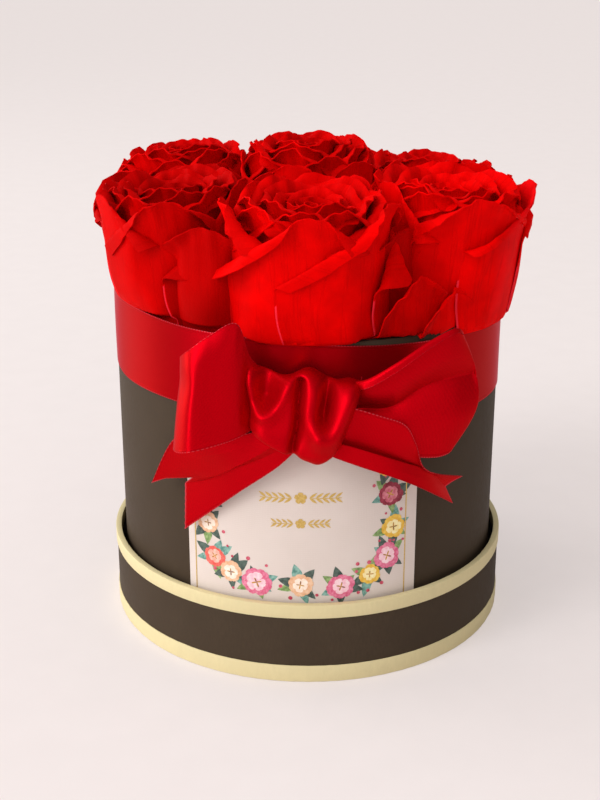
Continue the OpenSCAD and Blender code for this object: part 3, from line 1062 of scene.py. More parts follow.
    def shape(self, motif: Motif) -> bpy.types.Object:
        """Makes one shape as a thin closed plate.

        Args:
            motif: Which shape.

        Returns:
            Its object, for the stamping only.
        """
        outline = OUTLINES[motif]
        count = len(outline)
        points = [(x, y, z) for z in (0.0, self.ink / 2) for x, y in outline]
        faces = [tuple(range(count))[::-1], tuple(range(count, 2 * count))]
        faces += [(i, (i + 1) % count, count + (i + 1) % count, count + i) for i in range(count)]
        mesh = bpy.data.meshes.new(motif.value)
        mesh.from_pydata(points, [], faces)
        return bpy.data.objects.new(motif.value, mesh)

    def printed(
        self, layer: Layer, tree: bpy.types.NodeTree, shape: bpy.types.Object
    ) -> bpy.types.Object:
        """Stamps one layer.

        Args:
            layer: The layer.
            tree: Stamping tree.
            shape: Shape that is stamped.

        Returns:
            The layer as a plain mesh.
        """
        points = bpy.data.meshes.new("stamps")
        points.from_pydata([(s.across, s.up, 0.0) for s in layer.stamps], [], [])
        turn = points.attributes.new("turn", "FLOAT", "POINT")
        turn.data.foreach_set("value", [s.turn for s in layer.stamps])
        size = points.attributes.new("size", "FLOAT_VECTOR", "POINT")
        size.data.foreach_set("vector", [c for s in layer.stamps for c in (s.width, s.length, 1.0)])
        carrier = link(bpy.data.objects.new("stamps", points))
        stamping = carrier.modifiers.new("stamping", "NODES")
        stamping.node_group = tree
        values = {
            "Shape": shape, "Ink": layer.finish.material(), "Face radius": self.radius + self.thickness,
            "Middle angle": self.middle_angle(), "Low edge": self.low, "Proud": layer.proud,
        }
        for socket in tree.interface.items_tree:
            if socket.in_out == "INPUT" and socket.name in values:
                stamping[socket.identifier] = values[socket.name]
        made = carrier.evaluated_get(bpy.context.evaluated_depsgraph_get())
        mesh = bpy.data.meshes.new_from_object(made)
        bpy.data.objects.remove(carrier)
        return link(bpy.data.objects.new("label_print", mesh))

    def build(self) -> None:
        """Makes the card and its print."""
        self.card()
        tree = self.stamping()
        shapes = {motif: self.shape(motif) for motif in Motif}
        layers = [*self.garland(), *self.gilding()]
        sheets = [self.printed(layer, tree, shapes[layer.motif]) for layer in layers]
        with bpy.context.temp_override(active_object=sheets[0], selected_editable_objects=sheets):
            bpy.ops.object.join()
        for shape in shapes.values():
            bpy.data.objects.remove(shape)
        settle(sheets[0], Body.BOX, "label_card")


@dataclass
class RibbonBand:
    """Satin ribbon round the box, a little higher on the left and in front.

    Its edges stand off and ripple, each ripple with a height, a count and a start in radians.
    """

    radius: float = 75.25 * MM
    width: float = 29.5 * MM
    middle: float = 114 * MM
    slope: float = 3.4
    front_slope: float = 1.4
    thickness: float = 0.3 * MM
    stand_off: float = 0.2 * MM
    ripples: Sequence[tuple[float, int, float]] = ((0.18 * MM, 5, 0.7), (0.12 * MM, 11, 0.0))
    sway: tuple[float, int, float] = (0.25 * MM, 7, 1.1)
    steps: int = 360
    rows: int = 16

    def build(self) -> None:
        """Makes the band."""
        angles = np.linspace(0, 2 * np.pi, self.steps + 1) + np.pi / 2
        share = np.linspace(0, 1, self.rows)
        tilt, front_tilt = (math.tan(math.radians(angle)) for angle in (self.slope, self.front_slope))
        first, second, sway = (
            height * np.sin(count * angles + start) for height, count, start in (*self.ripples, self.sway)
        )
        radius = self.radius + np.outer(self.stand_off + (first + second), (2 * share - 1) ** 2)
        x = radius * np.cos(angles)[:, None]
        y = radius * np.sin(angles)[:, None]
        z = self.middle - tilt * x - front_tilt * y + (share - 0.5)[None, :] * self.width
        z = z + np.outer(sway, 2 * share - 1)
        along = np.broadcast_to((angles * self.radius)[:, None], x.shape)
        parts = MeshParts()
        places = np.stack([along, np.broadcast_to(share, x.shape)], axis=2)
        parts.add_sheet(np.stack([x, y, z], axis=2), self.thickness, places)
        # The band's satin is drawn darker than the bow's, partly a deeper crimson and partly painted shade
        piece = parts.build("ribbon_band_satin", Satin("band_satin", self.width, "#AE000E").material())
        settle(piece, Body.BOX, "satin_ribbon", "ribbon_band")


# Sections across each bow ribbon, from its lower to its upper edge, in the order it runs:
# sideways, forward of the band's front, and above the knot's middle, in millimetres
LOOP_LEFT: list[Section] = [
    [(-14, 5, -6), (-14, 6, 0), (-14, 6, 6), (-14, 6, 8), (-14, 5, 10)],
    [(-19, 10, -8.4), (-19.2, 10, 0), (-19.8, 10, 8), (-19.8, 9.8, 13.6), (-19.8, 9, 17)],
    [(-24.6, 14, -10.4), (-24.4, 14, -0.8), (-24.4, 13.8, 8.8), (-24.4, 13, 18), (-24, 10.6, 29.1)],
    [(-32, 16.8, -12.1), (-32.5, 16, -1), (-32.6, 15.2, 9.2), (-32.6, 13.8, 17.8), (-32.6, 11, 25.4)],
    [(-40.2, 18, -13.8), (-39.4, 17, -1), (-38.6, 15.6, 9), (-39, 13.8, 15.5), (-39.4, 11, 20.4)],
    [(-45, 13.4, -15.7), (-43.6, 12.4, -1.5), (-42.4, 11.2, 7.5), (-42.6, 9.8, 12.8), (-42.6, 8, 17.2)],
    [(-46.4, 7.4, -15.8), (-44.8, 7, -1), (-43.6, 6.4, 8), (-43.4, 5.8, 11.8), (-43.2, 5, 15.6)],
    [(-44, 1, -13), (-43, 0.8, -1), (-42, 0.6, 8.5), (-41.6, 0.6, 10.8), (-41, 0.6, 15)],
    [(-30, 1, -11), (-30, 1, 0), (-30, 1, 7), (-29.6, 1, 9), (-29, 1, 12.5)],
    [(-5, 3, -7), (-5, 3, -2), (-5, 3, 2), (-5, 3, 3.5), (-5, 3, 5)],
]
LOOP_RIGHT: list[Section] = [
    [(9, 6, -6), (9, 6, -3), (9, 6, -1), (9, 6, 3), (9.5, 6, 7), (9.8, 6.5, 6.8), (10, 7, 5.5)],
    [
        (16, 11, -9.5), (17, 10.5, -5), (17.4, 9.5, -1.6), (17.8, 11, 4),
        (18.2, 12.3, 9.4), (18.4, 13.8, 9.6), (18.4, 14.2, 7.4),
    ],
    [
        (26, 11.4, -14.3), (27, 12.2, -7.5), (27.6, 10.6, -0.9), (28, 12.5, 7),
        (28, 13.6, 15.2), (28.2, 15, 15.5), (28.6, 15.3, 13.6),
    ],
    [
        (35.5, 8.8, -19), (37.5, 10.8, -6.5), (38.5, 9, 5.6), (38.8, 11, 13.5),
        (38.9, 11.4, 22), (39, 12.4, 22.3), (39.4, 12.6, 20.8),
    ],
    [
        (43.5, 6.8, -20.3), (49, 8.2, -6), (48.5, 5.8, 7.8), (47.8, 8, 17),
        (47, 8.6, 25.6), (47.2, 9.2, 25.7), (47.6, 9.4, 24.9),
    ],
    [
        (48.5, 5, -19.3), (56.3, 4, -5), (55.8, 2.2, 8.3), (53.8, 4, 16),
        (50.3, 6.3, 25.2), (50.5, 6.8, 25.3), (50.7, 7, 24.7),
    ],
    [
        (49.8, 2, -17.5), (57.6, 0.8, -2), (56.8, 0.6, 8.3), (54.6, 1.8, 15.6),
        (51.4, 3.4, 23), (51.5, 3.7, 23.1), (51.7, 3.8, 22.6),
    ],
    [
        (46, -1.5, -16), (53, -2, -3), (53, -2.2, 7), (51, -1.2, 14),
        (49, 0, 20.5), (49, 0.2, 20.6), (49.1, 0.3, 20.2),
    ],
    [
        (37, -1.5, -14), (43, -2, -4), (44, -2, 4), (44, -1.4, 9.5),
        (43, -0.8, 15), (43, -0.7, 15.1), (43, -0.6, 14.8),
    ],
    [(27, 1, -11), (29, 0.8, -4), (30, 0.6, 1), (31, 0.8, 5), (31, 1, 8), (31, 1.1, 8.1), (31, 1.2, 7.8)],
    [(5, 3, -7), (5, 3, -3), (5, 3, -1), (5, 3, 1), (5, 3, 2.5), (5, 3.1, 2.6), (5, 3.2, 2.4)],
]
TAIL_LEFT: list[Section] = [
    [(-3, 9, -15), (-6, 10, -13), (-8.5, 11, -11), (-11, 10.5, -9.5), (-13, 10, -8)],
    [(-10.8, 7, -23.8), (-14.5, 7.6, -19.4), (-15.5, 9.6, -17), (-19, 9.5, -14), (-22.5, 9, -11)],
    [(-23.9, 2, -35.2), (-26.5, 2.6, -26.5), (-24.5, 6.4, -23.5), (-29.5, 6, -19), (-34.6, 4, -15.5)],
    [
        (-34.5, -4, -45.5), (-36.5, -4.4, -33.5), (-32.6, 0.6, -29.8),
        (-40.5, -1.6, -24.5), (-47.1, -4, -17.5),
    ],
    [
        (-45.2, -10, -55.8), (-44.6, -10.4, -37.5), (-41.6, -6.4, -33.6),
        (-51.9, -11, -36), (-57.2, -14, -39.2),
    ],
]
TAIL_RIGHT: list[Section] = [
    [
        (3, 12.4, -14.1), (6, 12.6, -12.9), (8.5, 12.6, -11.3),
        (8.3, 11, -12.2), (10, 11.6, -6), (11, 12.6, 0),
    ],
    [
        (7.3, 14.6, -16.5), (9, 15, -14.4), (10.3, 15.2, -11.7),
        (10.2, 12.6, -13.4), (12.5, 13.6, -6), (14.8, 14.6, 0.8),
    ],
    [
        (16.8, 15.8, -19.8), (17.2, 16.2, -17), (17.6, 16.6, -13.5),
        (17.5, 13.4, -15.6), (21, 14.4, -8.7), (24.2, 15.6, -1.7),
    ],
    [
        (28.8, 14.4, -24.6), (27.2, 14.8, -20.8), (25.6, 15.2, -16.6),
        (25.7, 12.4, -18.4), (29, 14, -11), (32.2, 15.4, -4.9),
    ],
    [
        (37.2, 10.6, -29.6), (35.4, 11.2, -25.3), (33.2, 11.6, -20.5),
        (33.6, 9.6, -21.6), (34.8, 11.8, -16.5), (36.2, 13.8, -12.4),
    ],
    [
        (44.8, 4.4, -35.8), (43.2, 5, -31), (41.4, 5.6, -25.8),
        (41.4, 5, -26.2), (41, 6.5, -25.3), (40.6, 7.7, -24.8),
    ],
    [
        (51.6, -4, -42.6), (49.9, -3.6, -38.8), (48.6, -3, -35.7),
        (49.8, -3.8, -35.1), (51.5, -5, -34.5), (55.1, -7, -33.4),
    ],
]
# Knot: its edges from the bottom up and its top from left to right, sideways and above its middle
KNOT_LEFT = [(-5.2, -15.6), (-12, -13), (-20, -8.5), (-20.4, 0), (-22, 10), (-20.5, 17.6)]
KNOT_RIGHT = [(1.8, -20.7), (10, -14.8), (14.3, -5.2), (17.3, 3), (17.9, 7), (17.8, 10)]
KNOT_TOP = [
    (-20.5, 17.6), (-16, 14.8), (-10.5, 12.4), (-6, 13), (-0.2, 15.4),
    (4, 13.4), (7.2, 10.8), (10.5, 11.2), (14, 11.6), (17.8, 10),
]


@dataclass(frozen=True)
class Fold:
    """Ridge or groove of the knot: its line, height and half width in millimetres."""

    line: Sequence[tuple[float, float]]
    height: float
    width: float


KNOT_FOLDS = (
    Fold(
        [
            (-20.5, 18), (-21, 12), (-20.4, 5.5), (-19, 0.9), (-15.9, -1.2),
            (-12.8, 0), (-9, 4.9), (-6.6, 10.6), (-3.6, 16.6),
        ],
        2.6, 2.1,
    ),
    Fold([(-13.5, 18), (-14.2, 9), (-14.5, 4.4)], -7.0, 3.9),
    Fold([(-0.2, 18), (0.9, 6.1), (0.2, -1.2), (2.5, -5.5)], 2.4, 3.2),
    Fold([(-2.8, 10), (-3.5, 2), (-4, -5), (-5.6, -12.4), (-5, -16.1)], -4.2, 1.5),
    Fold([(7.1, 14), (6.0, 4.6), (4.8, -2.6)], -5.6, 2.1),
    Fold([(15.2, 13), (14, 5.3), (11.4, -2), (7.8, -6.8), (4, -7.6)], 4.2, 4.4),
    Fold([(3, -12), (1.8, -17)], 1.4, 4.5),
    Fold([(-15, -7), (-9, -9)], 0.8, 4.5),
)


@dataclass(frozen=True)
class Crease:
    """Sharp valley along a ribbon: its share across, depth and half width, and the run it covers."""

    share: float
    depth: float
    width: float
    start: float
    end: float
    ease_in: float = 0.08
    ease_out: float = 0.12


@dataclass(frozen=True)
class Strip:
    """Loop or tail of the bow.

    It has the solid it stands for, its sections, its points along and across it, the length of its
    ribbon in millimetres, whether its far end is pinked, and its valley.
    """

    node: str
    sections: list[Section]
    along: int
    across: int
    flat: float
    cut: bool = False
    crease: Crease | None = None


STRIPS = (
    Strip("bow_loop_left", LOOP_LEFT, 150, 60, 82),
    Strip("bow_loop_right", LOOP_RIGHT, 150, 90, 96, crease=Crease(0.333, 2.2, 0.05, 0.05, 0.6)),
    Strip("bow_tail_left", TAIL_LEFT, 70, 150, 46, cut=True),
    Strip("bow_tail_right", TAIL_RIGHT, 70, 150, 32, cut=True),
)


@dataclass
class Bow:
    """Made-up satin bow on the front of the band, in millimetres."""

    front: float = 75.45
    middle: float = 112.0
    width: float = 38.0
    thickness: float = 0.3
    knot_columns: int = 120
    knot_rows: int = 110
    knot_flat: float = 60.0
    knot_seen: float = 45.0
    knot_rise: float = 14.2
    knot_hang: float = 5.0
    knot_side: float = 3.4
    knot_tuck: float = 4.0
    knot_squareness: tuple[float, float] = (9, 4.5)
    knot_top_pull: int = 6
    fold_points: int = 40
    fray: tuple[float, float] = (0.24, 0.6)
    tooth: float = 1.3
    tooth_share: float = 0.55 / 60
    dab_size: tuple[float, float] = (9.0, 6.5)
    dab_low: float = 2.0
    dab_middle: float = 1.75
    dab_half: float = 1.6
    dab_narrow: float = 0.25
    dab_steps: int = 48
    dab_rows: int = 9

    def place(self, points: np.ndarray) -> np.ndarray:
        """Turns bow points in millimetres into places in the part's frame."""
        x, forward, up = np.moveaxis(points, -1, 0)
        return np.stack([x, -self.front - forward, self.middle + up], axis=-1) * MM

    def ribbon(self, strip: Strip) -> tuple[np.ndarray, np.ndarray]:
        """Ribbon surface over its sections.

        Args:
            strip: The loop or tail.

        Returns:
            Grid of points in millimetres and grid of texture places.
        """
        rows = np.asarray(strip.sections, dtype=float)
        shares = np.linspace(0, 1, strip.across)
        lengths = np.linspace(0, 1, strip.along)
        tracks = rows.shape[1] - 1
        end = np.full(strip.across, 1.0)
        if strip.cut:
            beat = shares * self.width / self.tooth
            end = 1 - 2 * np.abs(beat - np.floor(beat + 0.5)) * self.tooth_share
        grid = np.empty((strip.along, strip.across, 3))
        for j, share in enumerate(shares):
            run = through(rows, lengths * end[j] * (len(rows) - 1))
            side = share * tracks
            index = min(int(side), tracks - 1)
            if strip.cut:
                part = side - index
                grid[:, j] = run[:, index] * (1 - part) + run[:, index + 1] * part
            else:
                grid[:, j] = through(np.swapaxes(run, 0, 1), np.array([side]))[0]
        crease = strip.crease
        if crease is not None:
            window = smooth_step(lengths, crease.start, crease.start + crease.ease_in)
            window = window * (1 - smooth_step(lengths, crease.end - crease.ease_out, crease.end))
            dip = crease.depth * np.exp(-np.abs(shares - crease.share) / crease.width)
            grid[..., 1] -= np.outer(window, dip)
        steps = np.linalg.norm(np.diff(grid[:, strip.across // 2], axis=0), axis=1)
        run_length = np.concatenate([[0], np.cumsum(steps)])
        places = np.stack(np.broadcast_arrays(run_length[:, None] * MM, shares[None, :]), axis=2)
        return grid, places

    def strip(self, strip: Strip, satin: bpy.types.Material) -> None:
        """Makes a loop or a tail.

        Args:
            strip: What it is.
            satin: Its finish.
        """
        grid, places = self.ribbon(strip)
        frayed = np.zeros(grid.shape[:2])
        if strip.cut:
            gap = np.linalg.norm(grid - grid[-1:], axis=2)
            frayed = 1 - smooth_step(gap, *self.fray)
        parts = MeshParts()
        parts.add_sheet(self.place(grid), self.thickness * MM, places, frayed)
        piece = parts.build(strip.node + "_satin", satin)
        settle(piece, Body.BOX, "satin_ribbon", strip.node)

    def knot(self) -> None:
        """Makes the gathered knot: a swelling sheet with ridges and grooves."""
        # Points crowd towards the edges, where the sheet turns in
        counts = (self.knot_columns, self.knot_rows)
        a, b = (0.5 - 0.5 * np.cos(np.pi * np.linspace(0, 1, count)) for count in counts)
        left = through(KNOT_LEFT, b * (len(KNOT_LEFT) - 1))
        right = through(KNOT_RIGHT, b * (len(KNOT_RIGHT) - 1))
        flat = left[None] * (1 - a)[:, None, None] + right[None] * a[:, None, None]
        top = through(KNOT_TOP, a * (len(KNOT_TOP) - 1))
        flat = flat + (b**self.knot_top_pull)[None, :, None] * (top - flat[:, -1])[:, None]
        round_a, round_b = (
            np.clip(1 - np.abs(2 * t - 1) ** square, 0, 1) ** 0.5
            for t, square in zip((a, b), self.knot_squareness)
        )
        swell = np.outer(round_a, round_b)
        folds = np.zeros_like(swell)
        for fold in KNOT_FOLDS:
            line = through(fold.line, np.linspace(0, len(fold.line) - 1, self.fold_points))
            far = np.linalg.norm(flat[:, :, None, :] - line[None, None], axis=3).min(axis=2)
            folds += fold.height * np.exp(-((far / fold.width) ** 2))
        forward = self.knot_side + (self.knot_rise + self.knot_hang * (1 - 2 * b) + folds) * swell
        tuck = self.knot_tuck * np.where(b > 0.5, 1 - round_b, 0)
        grid = np.stack([flat[..., 0], forward, flat[..., 1] - tuck], axis=2)
        places = np.stack(np.broadcast_arrays(b[None, :] * self.knot_seen * MM, a[:, None]), axis=2)
        parts = MeshParts()
        parts.add_sheet(self.place(grid)[:, ::-1], self.thickness * MM, places[:, ::-1])
        gathered = Satin("knot_satin", self.width * MM, streak=0.3, gloss=0.4)
        piece = parts.build("bow_knot_satin", gathered.material(), sharp=75)
        settle(piece, Body.BOX, "satin_ribbon", "bow_knot")

    def dab(self) -> None:
        """Makes the flattened dab of glue between the band and the knot."""
        turn = np.linspace(0, 2 * np.pi, self.dab_steps, endpoint=False)
        rise = np.linspace(-1, 1, self.dab_rows)
        spread = (1 - self.dab_narrow * np.abs(rise) ** 3)[:, None]
        x = self.dab_size[0] * spread * np.cos(turn)
        z = self.dab_size[1] * spread * np.sin(turn) - self.dab_low
        forward = np.broadcast_to(self.dab_middle + self.dab_half * rise[:, None], x.shape)
        ring = np.stack([x, forward, z], axis=2)
        caps = [np.broadcast_to(ring[i].mean(axis=0), (1, self.dab_steps, 3)) for i in (0, -1)]
        grid = np.concatenate([caps[0], ring, caps[1]])
        numbers = np.arange(len(grid) * self.dab_steps).reshape(len(grid), self.dab_steps)
        following = np.roll(numbers, -1, axis=1)
        faces = np.stack([numbers[:-1], following[:-1], following[1:], numbers[1:]], axis=2)
        parts = MeshParts()
        places = grid[..., ::2].reshape(-1, 2) * MM
        parts.add(self.place(grid).reshape(-1, 3), faces.reshape(-1, 4), places)
        glue = FibrePaper("set_glue", "#E6DCC4", fibre=3 * MM, roughness=0.35, contrast=0.06)
        settle(parts.build("bow_glue_dab", glue.material()), Body.BOX, "glue", "bow_glue_pad")

    def build(self) -> None:
        """Makes the knot, the loops, the tails and the glue behind them."""
        self.dab()
        self.knot()
        satin = Satin("bow_satin", self.width * MM).material()
        for strip in STRIPS:
            self.strip(strip, satin)


@dataclass(frozen=True)
class PetalRing:
    """One ring of petals: count, spread, the line from base to tip as shares of the bloom, and its lips.

    The lips turn over along a line that falls by the flap's share, about a curl's radius. In a
    cupped bloom the ring is raised by a share.
    """

    count: int
    half_width: float
    first: float
    line: Sequence[tuple[float, float]]
    flap: float
    curl: float
    raised: float


PETAL_RINGS = (
    PetalRing(
        5, 60, 0,
        [(0.26, 0.01), (0.6, 0.05), (0.88, 0.15), (0.91, 0.32), (0.92, 0.50), (0.95, 0.68), (1.04, 0.82)],
        0.36, 2.3, 0.17,
    ),
    PetalRing(
        5, 60, 36,
        [(0.24, 0.02), (0.42, 0.08), (0.56, 0.2), (0.64, 0.42), (0.70, 0.64), (0.76, 0.79), (0.85, 0.87)],
        0.3, 1.9, 0.1,
    ),
    PetalRing(
        5, 58, 10,
        [
            (0.20, 0.04), (0.36, 0.14), (0.50, 0.32), (0.60, 0.58),
            (0.65, 0.77), (0.69, 0.87), (0.77, 0.93),
        ],
        0.3, 2.0, 0.035,
    ),
    PetalRing(
        4, 66, 40,
        [
            (0.17, 0.06), (0.28, 0.18), (0.38, 0.40), (0.46, 0.64),
            (0.49, 0.82), (0.51, 0.91), (0.57, 0.96),
        ],
        0.22, 1.8, -0.005,
    ),
    PetalRing(
        4, 68, 5,
        [
            (0.12, 0.10), (0.20, 0.24), (0.28, 0.45), (0.34, 0.68),
            (0.355, 0.86), (0.36, 0.94), (0.40, 0.975),
        ],
        0.16, 1.5, -0.04,
    ),
    PetalRing(
        3, 86, 50,
        [
            (0.08, 0.20), (0.15, 0.32), (0.21, 0.52), (0.235, 0.72),
            (0.23, 0.87), (0.215, 0.94), (0.22, 0.965),
        ],
        0.1, 1.3, -0.06,
    ),
    PetalRing(
        3, 96, 110,
        [
            (0.04, 0.30), (0.08, 0.42), (0.11, 0.60), (0.12, 0.78),
            (0.105, 0.89), (0.085, 0.935), (0.08, 0.95),
        ],
        0.06, 1.0, -0.06,
    ),
)


@dataclass(frozen=True)
class PetalCut:
    """A petal laid flat, in millimetres: its size, its foot's share, its tip and the lips beside it."""

    length: float
    half: float
    foot: float
    apex: float
    falls: tuple[float, float]
    turns: tuple[float, float]
    curl: float
    levels: np.ndarray


@dataclass(frozen=True)
class GapPetal:
    """Petal that closes the gap beside a rose.

    It bends about an axis at an angle and a distance from the middle of the box, and has a radius,
    a half width, a height and a depth of painted shade, which draws it darker in the shadow of the gap.
    """

    rose: str
    angle: float
    from_middle: float
    radius: float
    half: float
    height: float
    depth: float


# Last column: painted shade, darker where the gap lies in shadow
GAP_PETALS = (
    GapPetal("front_left", 238, 62, 13, 22, 50, 0.75),
    GapPetal("front", 245, 54, 15, 28, 46, 0.5),
    GapPetal("front_right", 298, 48.5, 28, 13, 33, 0.25),
    GapPetal("front_right", 309, 49.5, 28, 12, 27, 0.0),
    GapPetal("front", 296, 53, 15, 28, 48, 0.75),
    GapPetal("back_right", 0, 58, 12, 23, 42, 0.5),
    GapPetal("back_left", 180, 58, 12, 23, 42, 0.5),
    GapPetal("back", 60, 58, 12, 23, 42, 0.5),
    GapPetal("back", 120, 58, 12, 23, 42, 0.5),
)


@dataclass(frozen=True)
class RosePlace:
    """Where one rose stands: ring angle (None in the middle), lift and turn, and how it has opened.

    Its cup is 1 where the outer petals hide the heart and 0 where it lies open. Its stature is a
    share of the full height, its spread a share of the full radius, and its depth is a painted
    shade that draws the whole bloom darker. It swells over the rim from a step above it to a
    radius, sags outside it, and its tips stand out more.
    """

    name: str
    angle: float | None
    lift: float
    turn: float
    cup: float
    stature: float
    depth: float
    spread: float = 1.0
    step: float = 0.3
    over: float = 75.9
    sag: float = 0.0
    tips: float = 4.0


# The seventh column, depth, is a painted shade on each whole bloom
ROSE_PLACES = (
    RosePlace("center", None, 8, 20, 0.35, 1.0, 0.15),
    RosePlace("front", 270, 0, -25, 1.0, 0.99, 0.05, spread=1.04, over=77.6, sag=1.4),
    RosePlace("front_right", 330, 0, 15, 1.0, 0.98, -0.3, spread=1.1, over=79.6, sag=6.0, tips=2.0),
    RosePlace("back_right", 30, 1, 95, 0.4, 0.92, 0.05, spread=1.1, over=79.6, sag=6.0),
    RosePlace("back", 90, 2, 140, 0.3, 0.95, 0.15),
    RosePlace("back_left", 150, 4, 206, 0.3, 0.95, 0.2, step=2.6, tips=1.0),
    RosePlace("front_left", 210, 0, 270, 0.9, 0.97, 0.42, step=2.8, tips=1.0),
)


# Waves of a petal, each with a height in millimetres, and radians a millimetre across it and up it
PETAL_WAVES = ((0.45, 0.22, 0.11), (0.3, 0.41, -0.17))
# Ruffles along its free edge: height, and radians a millimetre across it
PETAL_RUFFLES = ((0.8, 0.5), (0.65, 1.1))
# Line of a gap petal from base to tip, as shares of its radius and its height
GAP_LINE = ((0.3, 0.0), (0.7, 0.08), (0.95, 0.25), (1.0, 0.5), (0.98, 0.8), (1.04, 1.0))


@dataclass
class Roses:
    """Seven preserved roses, one in the middle and six round it, pressed against each other.

    Lengths are in millimetres, and zones run from where something begins to where it is full.
    """

    radius: float = 28.5
    height: float = 64.0
    ring_r: float = 52.5
    lean: float = 5.0
    base: float = 118.4
    rim: float = 130.4
    cell_soft: float = 21.0
    cell_limit: float = 26.3
    wall_room: float = 3.3
    wall_limit: float = 71.6
    flare: float = 7.5
    flare_rise: float = 14.0
    wall_flare: float = 6.0
    outside: float = 75.2
    settle: float = 6.0
    tuck: float = 77.1
    tuck_sag: float = 2.7
    # Painted shade at the foot and at the sides of each petal, where neighbours shade it
    foot_shade: float = 0.5
    side_shade: float = 0.25
    petal: float = 0.45
    spiral: float = 1.5
    shoulder: float = 0.35
    turn_over: float = 2.35
    tip_ease: float = 7.0
    spare: float = 12.0
    edge: float = 0.975
    bare_share: float = 0.72
    lip: float = 1.4
    flat_width: float = 22.0
    lift_zone: tuple[float, float] = (4, 20)
    foot_zone: tuple[float, float] = (10, 34)
    side_zone: tuple[float, float] = (0.4, 1.0)
    tip_zone: tuple[float, float] = (28, 44)
    level_ease: float = 0.85
    rim_levels: tuple[float, float, int] = (0.25, 0.42, 40)
    tip_swell: float = 0.3
    full_width: float = 0.55
    ruffle_ease: int = 5
    least_bend: float = 0.3
    # Painted highlight line along the petal edges, and painted shade for each ring further in
    pale: float = 3.0
    ring_shade: float = 0.03
    flaps: tuple[float, float] = (0.75, 1.3)
    lengths: tuple[float, float] = (0.94, 1.03)
    tips_off: tuple[float, float] = (0.05, 0.35)
    curls: tuple[float, float] = (0.85, 1.25)
    shades: tuple[float, float] = (0.0, 0.22)
    swings: tuple[float, float] = (-6, 6)
    flap_sides: tuple[float, float] = (1.0, 0.6)
    foot: float = 0.5
    tip_point: float = 4.0
    full_curl: float = 2.0
    line_points: int = 120
    columns: int = 31
    rows: int = 34

    def pressed(self, xy: np.ndarray, angles: Sequence[float]) -> np.ndarray:
        """Pushes points back where neighbouring blooms stand.

        Args:
            xy: Points about the rose's axis in millimetres.
            angles: Directions of the neighbours in degrees.

        Returns:
            The moved points.
        """
        room = self.cell_limit - self.cell_soft
        for angle in angles:
            way = np.array([math.cos(math.radians(angle)), math.sin(math.radians(angle))])
            far = xy @ way
            held = self.cell_soft + room * (1 - np.exp(np.minimum(0, self.cell_soft - far) / room))
            xy = xy + (np.where(far > self.cell_soft, held, far) - far)[..., None] * way
        return xy

    def over_rim(self, points: np.ndarray, rose: RosePlace) -> np.ndarray:
        """Keeps points inside the box below its rim, and lets them swell and sag over it.

        Args:
            points: Points in the box in millimetres.
            rose: The rose that they belong to.

        Returns:
            The moved points.
        """
        free = np.maximum(0, points[..., 2] - self.rim - rose.step)
        flare = self.flare * (1 - np.exp(-free / self.flare_rise))
        flare = flare + rose.tips * smooth_step(free, *self.tip_zone)
        limit = np.minimum(self.wall_limit + self.wall_flare * free, rose.over + flare)
        soft = limit - self.wall_room
        far = np.maximum(1e-6, np.hypot(points[..., 0], points[..., 1]))
        past = np.minimum(0, soft - far) / self.wall_room
        held = np.where(far > soft, soft + self.wall_room * (1 - np.exp(past)), far)
        outside = smooth_step(held, self.outside, self.outside + self.lip)
        sag = rose.sag * outside * np.exp(-np.maximum(0, points[..., 2] - self.rim) / self.settle)
        share = held / far
        return np.stack([points[..., 0] * share, points[..., 1] * share, points[..., 2] - sag], axis=-1)

    def petal_line(self, corners: np.ndarray) -> tuple[np.ndarray, np.ndarray, np.ndarray]:
        """Line of a petal from base to tip, run on a little past the tip.

        Args:
            corners: Points of radius and height in millimetres that the line goes through.

        Returns:
            Points of radius and height, their distance from the base, and the direction that the
            line climbs in.
        """
        points = through(corners, np.linspace(0, len(corners) - 1, self.line_points))
        last = points[-1] - points[-2]
        points = np.vstack([points, points[-1] + last / np.linalg.norm(last) * self.spare])
        steps = np.linalg.norm(np.diff(points, axis=0), axis=1)
        reach = np.concatenate([[0], np.cumsum(steps)])
        slope = np.gradient(points, reach, axis=0)
        return points, reach, np.arctan2(slope[:, 1], slope[:, 0])

    def levels(self, over_rim: bool = False) -> np.ndarray:
        """Shares up a petal at which it has points, closer together where it passes over the rim."""
        shares = np.linspace(0, 1, self.rows) ** self.level_ease
        return np.union1d(shares, np.linspace(*self.rim_levels)) if over_rim else shares

    def rolled(
        self, x: np.ndarray, s: np.ndarray, out: np.ndarray, side: int, tip: tuple[float, float],
        end: tuple[float, float], curl: float, turn: float,
    ) -> tuple[np.ndarray, np.ndarray, np.ndarray]:
        """Turns one side of a flat petal over outwards, about a slanting line from its tip.

        Args:
            x: Places across the petal in millimetres.
            s: Places up the petal.
            out: How far each place stands out already.
            side: Which side turns over, -1 or 1.
            tip: Place of the tip.
            end: Where the line meets the petal's side.
            curl: Radius of the bend.
            turn: Angle of the bend in radians.

        Returns:
            The new places across, up and out.
        """
        line = np.array([end[0] - tip[0], end[1] - tip[1]])
        line = line / np.linalg.norm(line)
        away = np.array([-line[1], line[0]]) * side
        far = (x - tip[0]) * away[0] + (s - tip[1]) * away[1]
        run = (x - tip[0]) * line[0] + (s - tip[1]) * line[1]
        radius = curl * (1 + self.tip_swell * np.exp(-((run / self.tip_ease) ** 2)))
        past = np.where((x - tip[0]) * side > 0, np.maximum(0, far), 0)
        bent = np.minimum(past, radius * turn)
        rest = past - bent
        shift = radius * np.sin(bent / radius) + rest * math.cos(turn) - past
        rise = radius * (1 - np.cos(bent / radius)) + rest * math.sin(turn)
        return x + away[0] * shift, s + away[1] * shift, out + rise

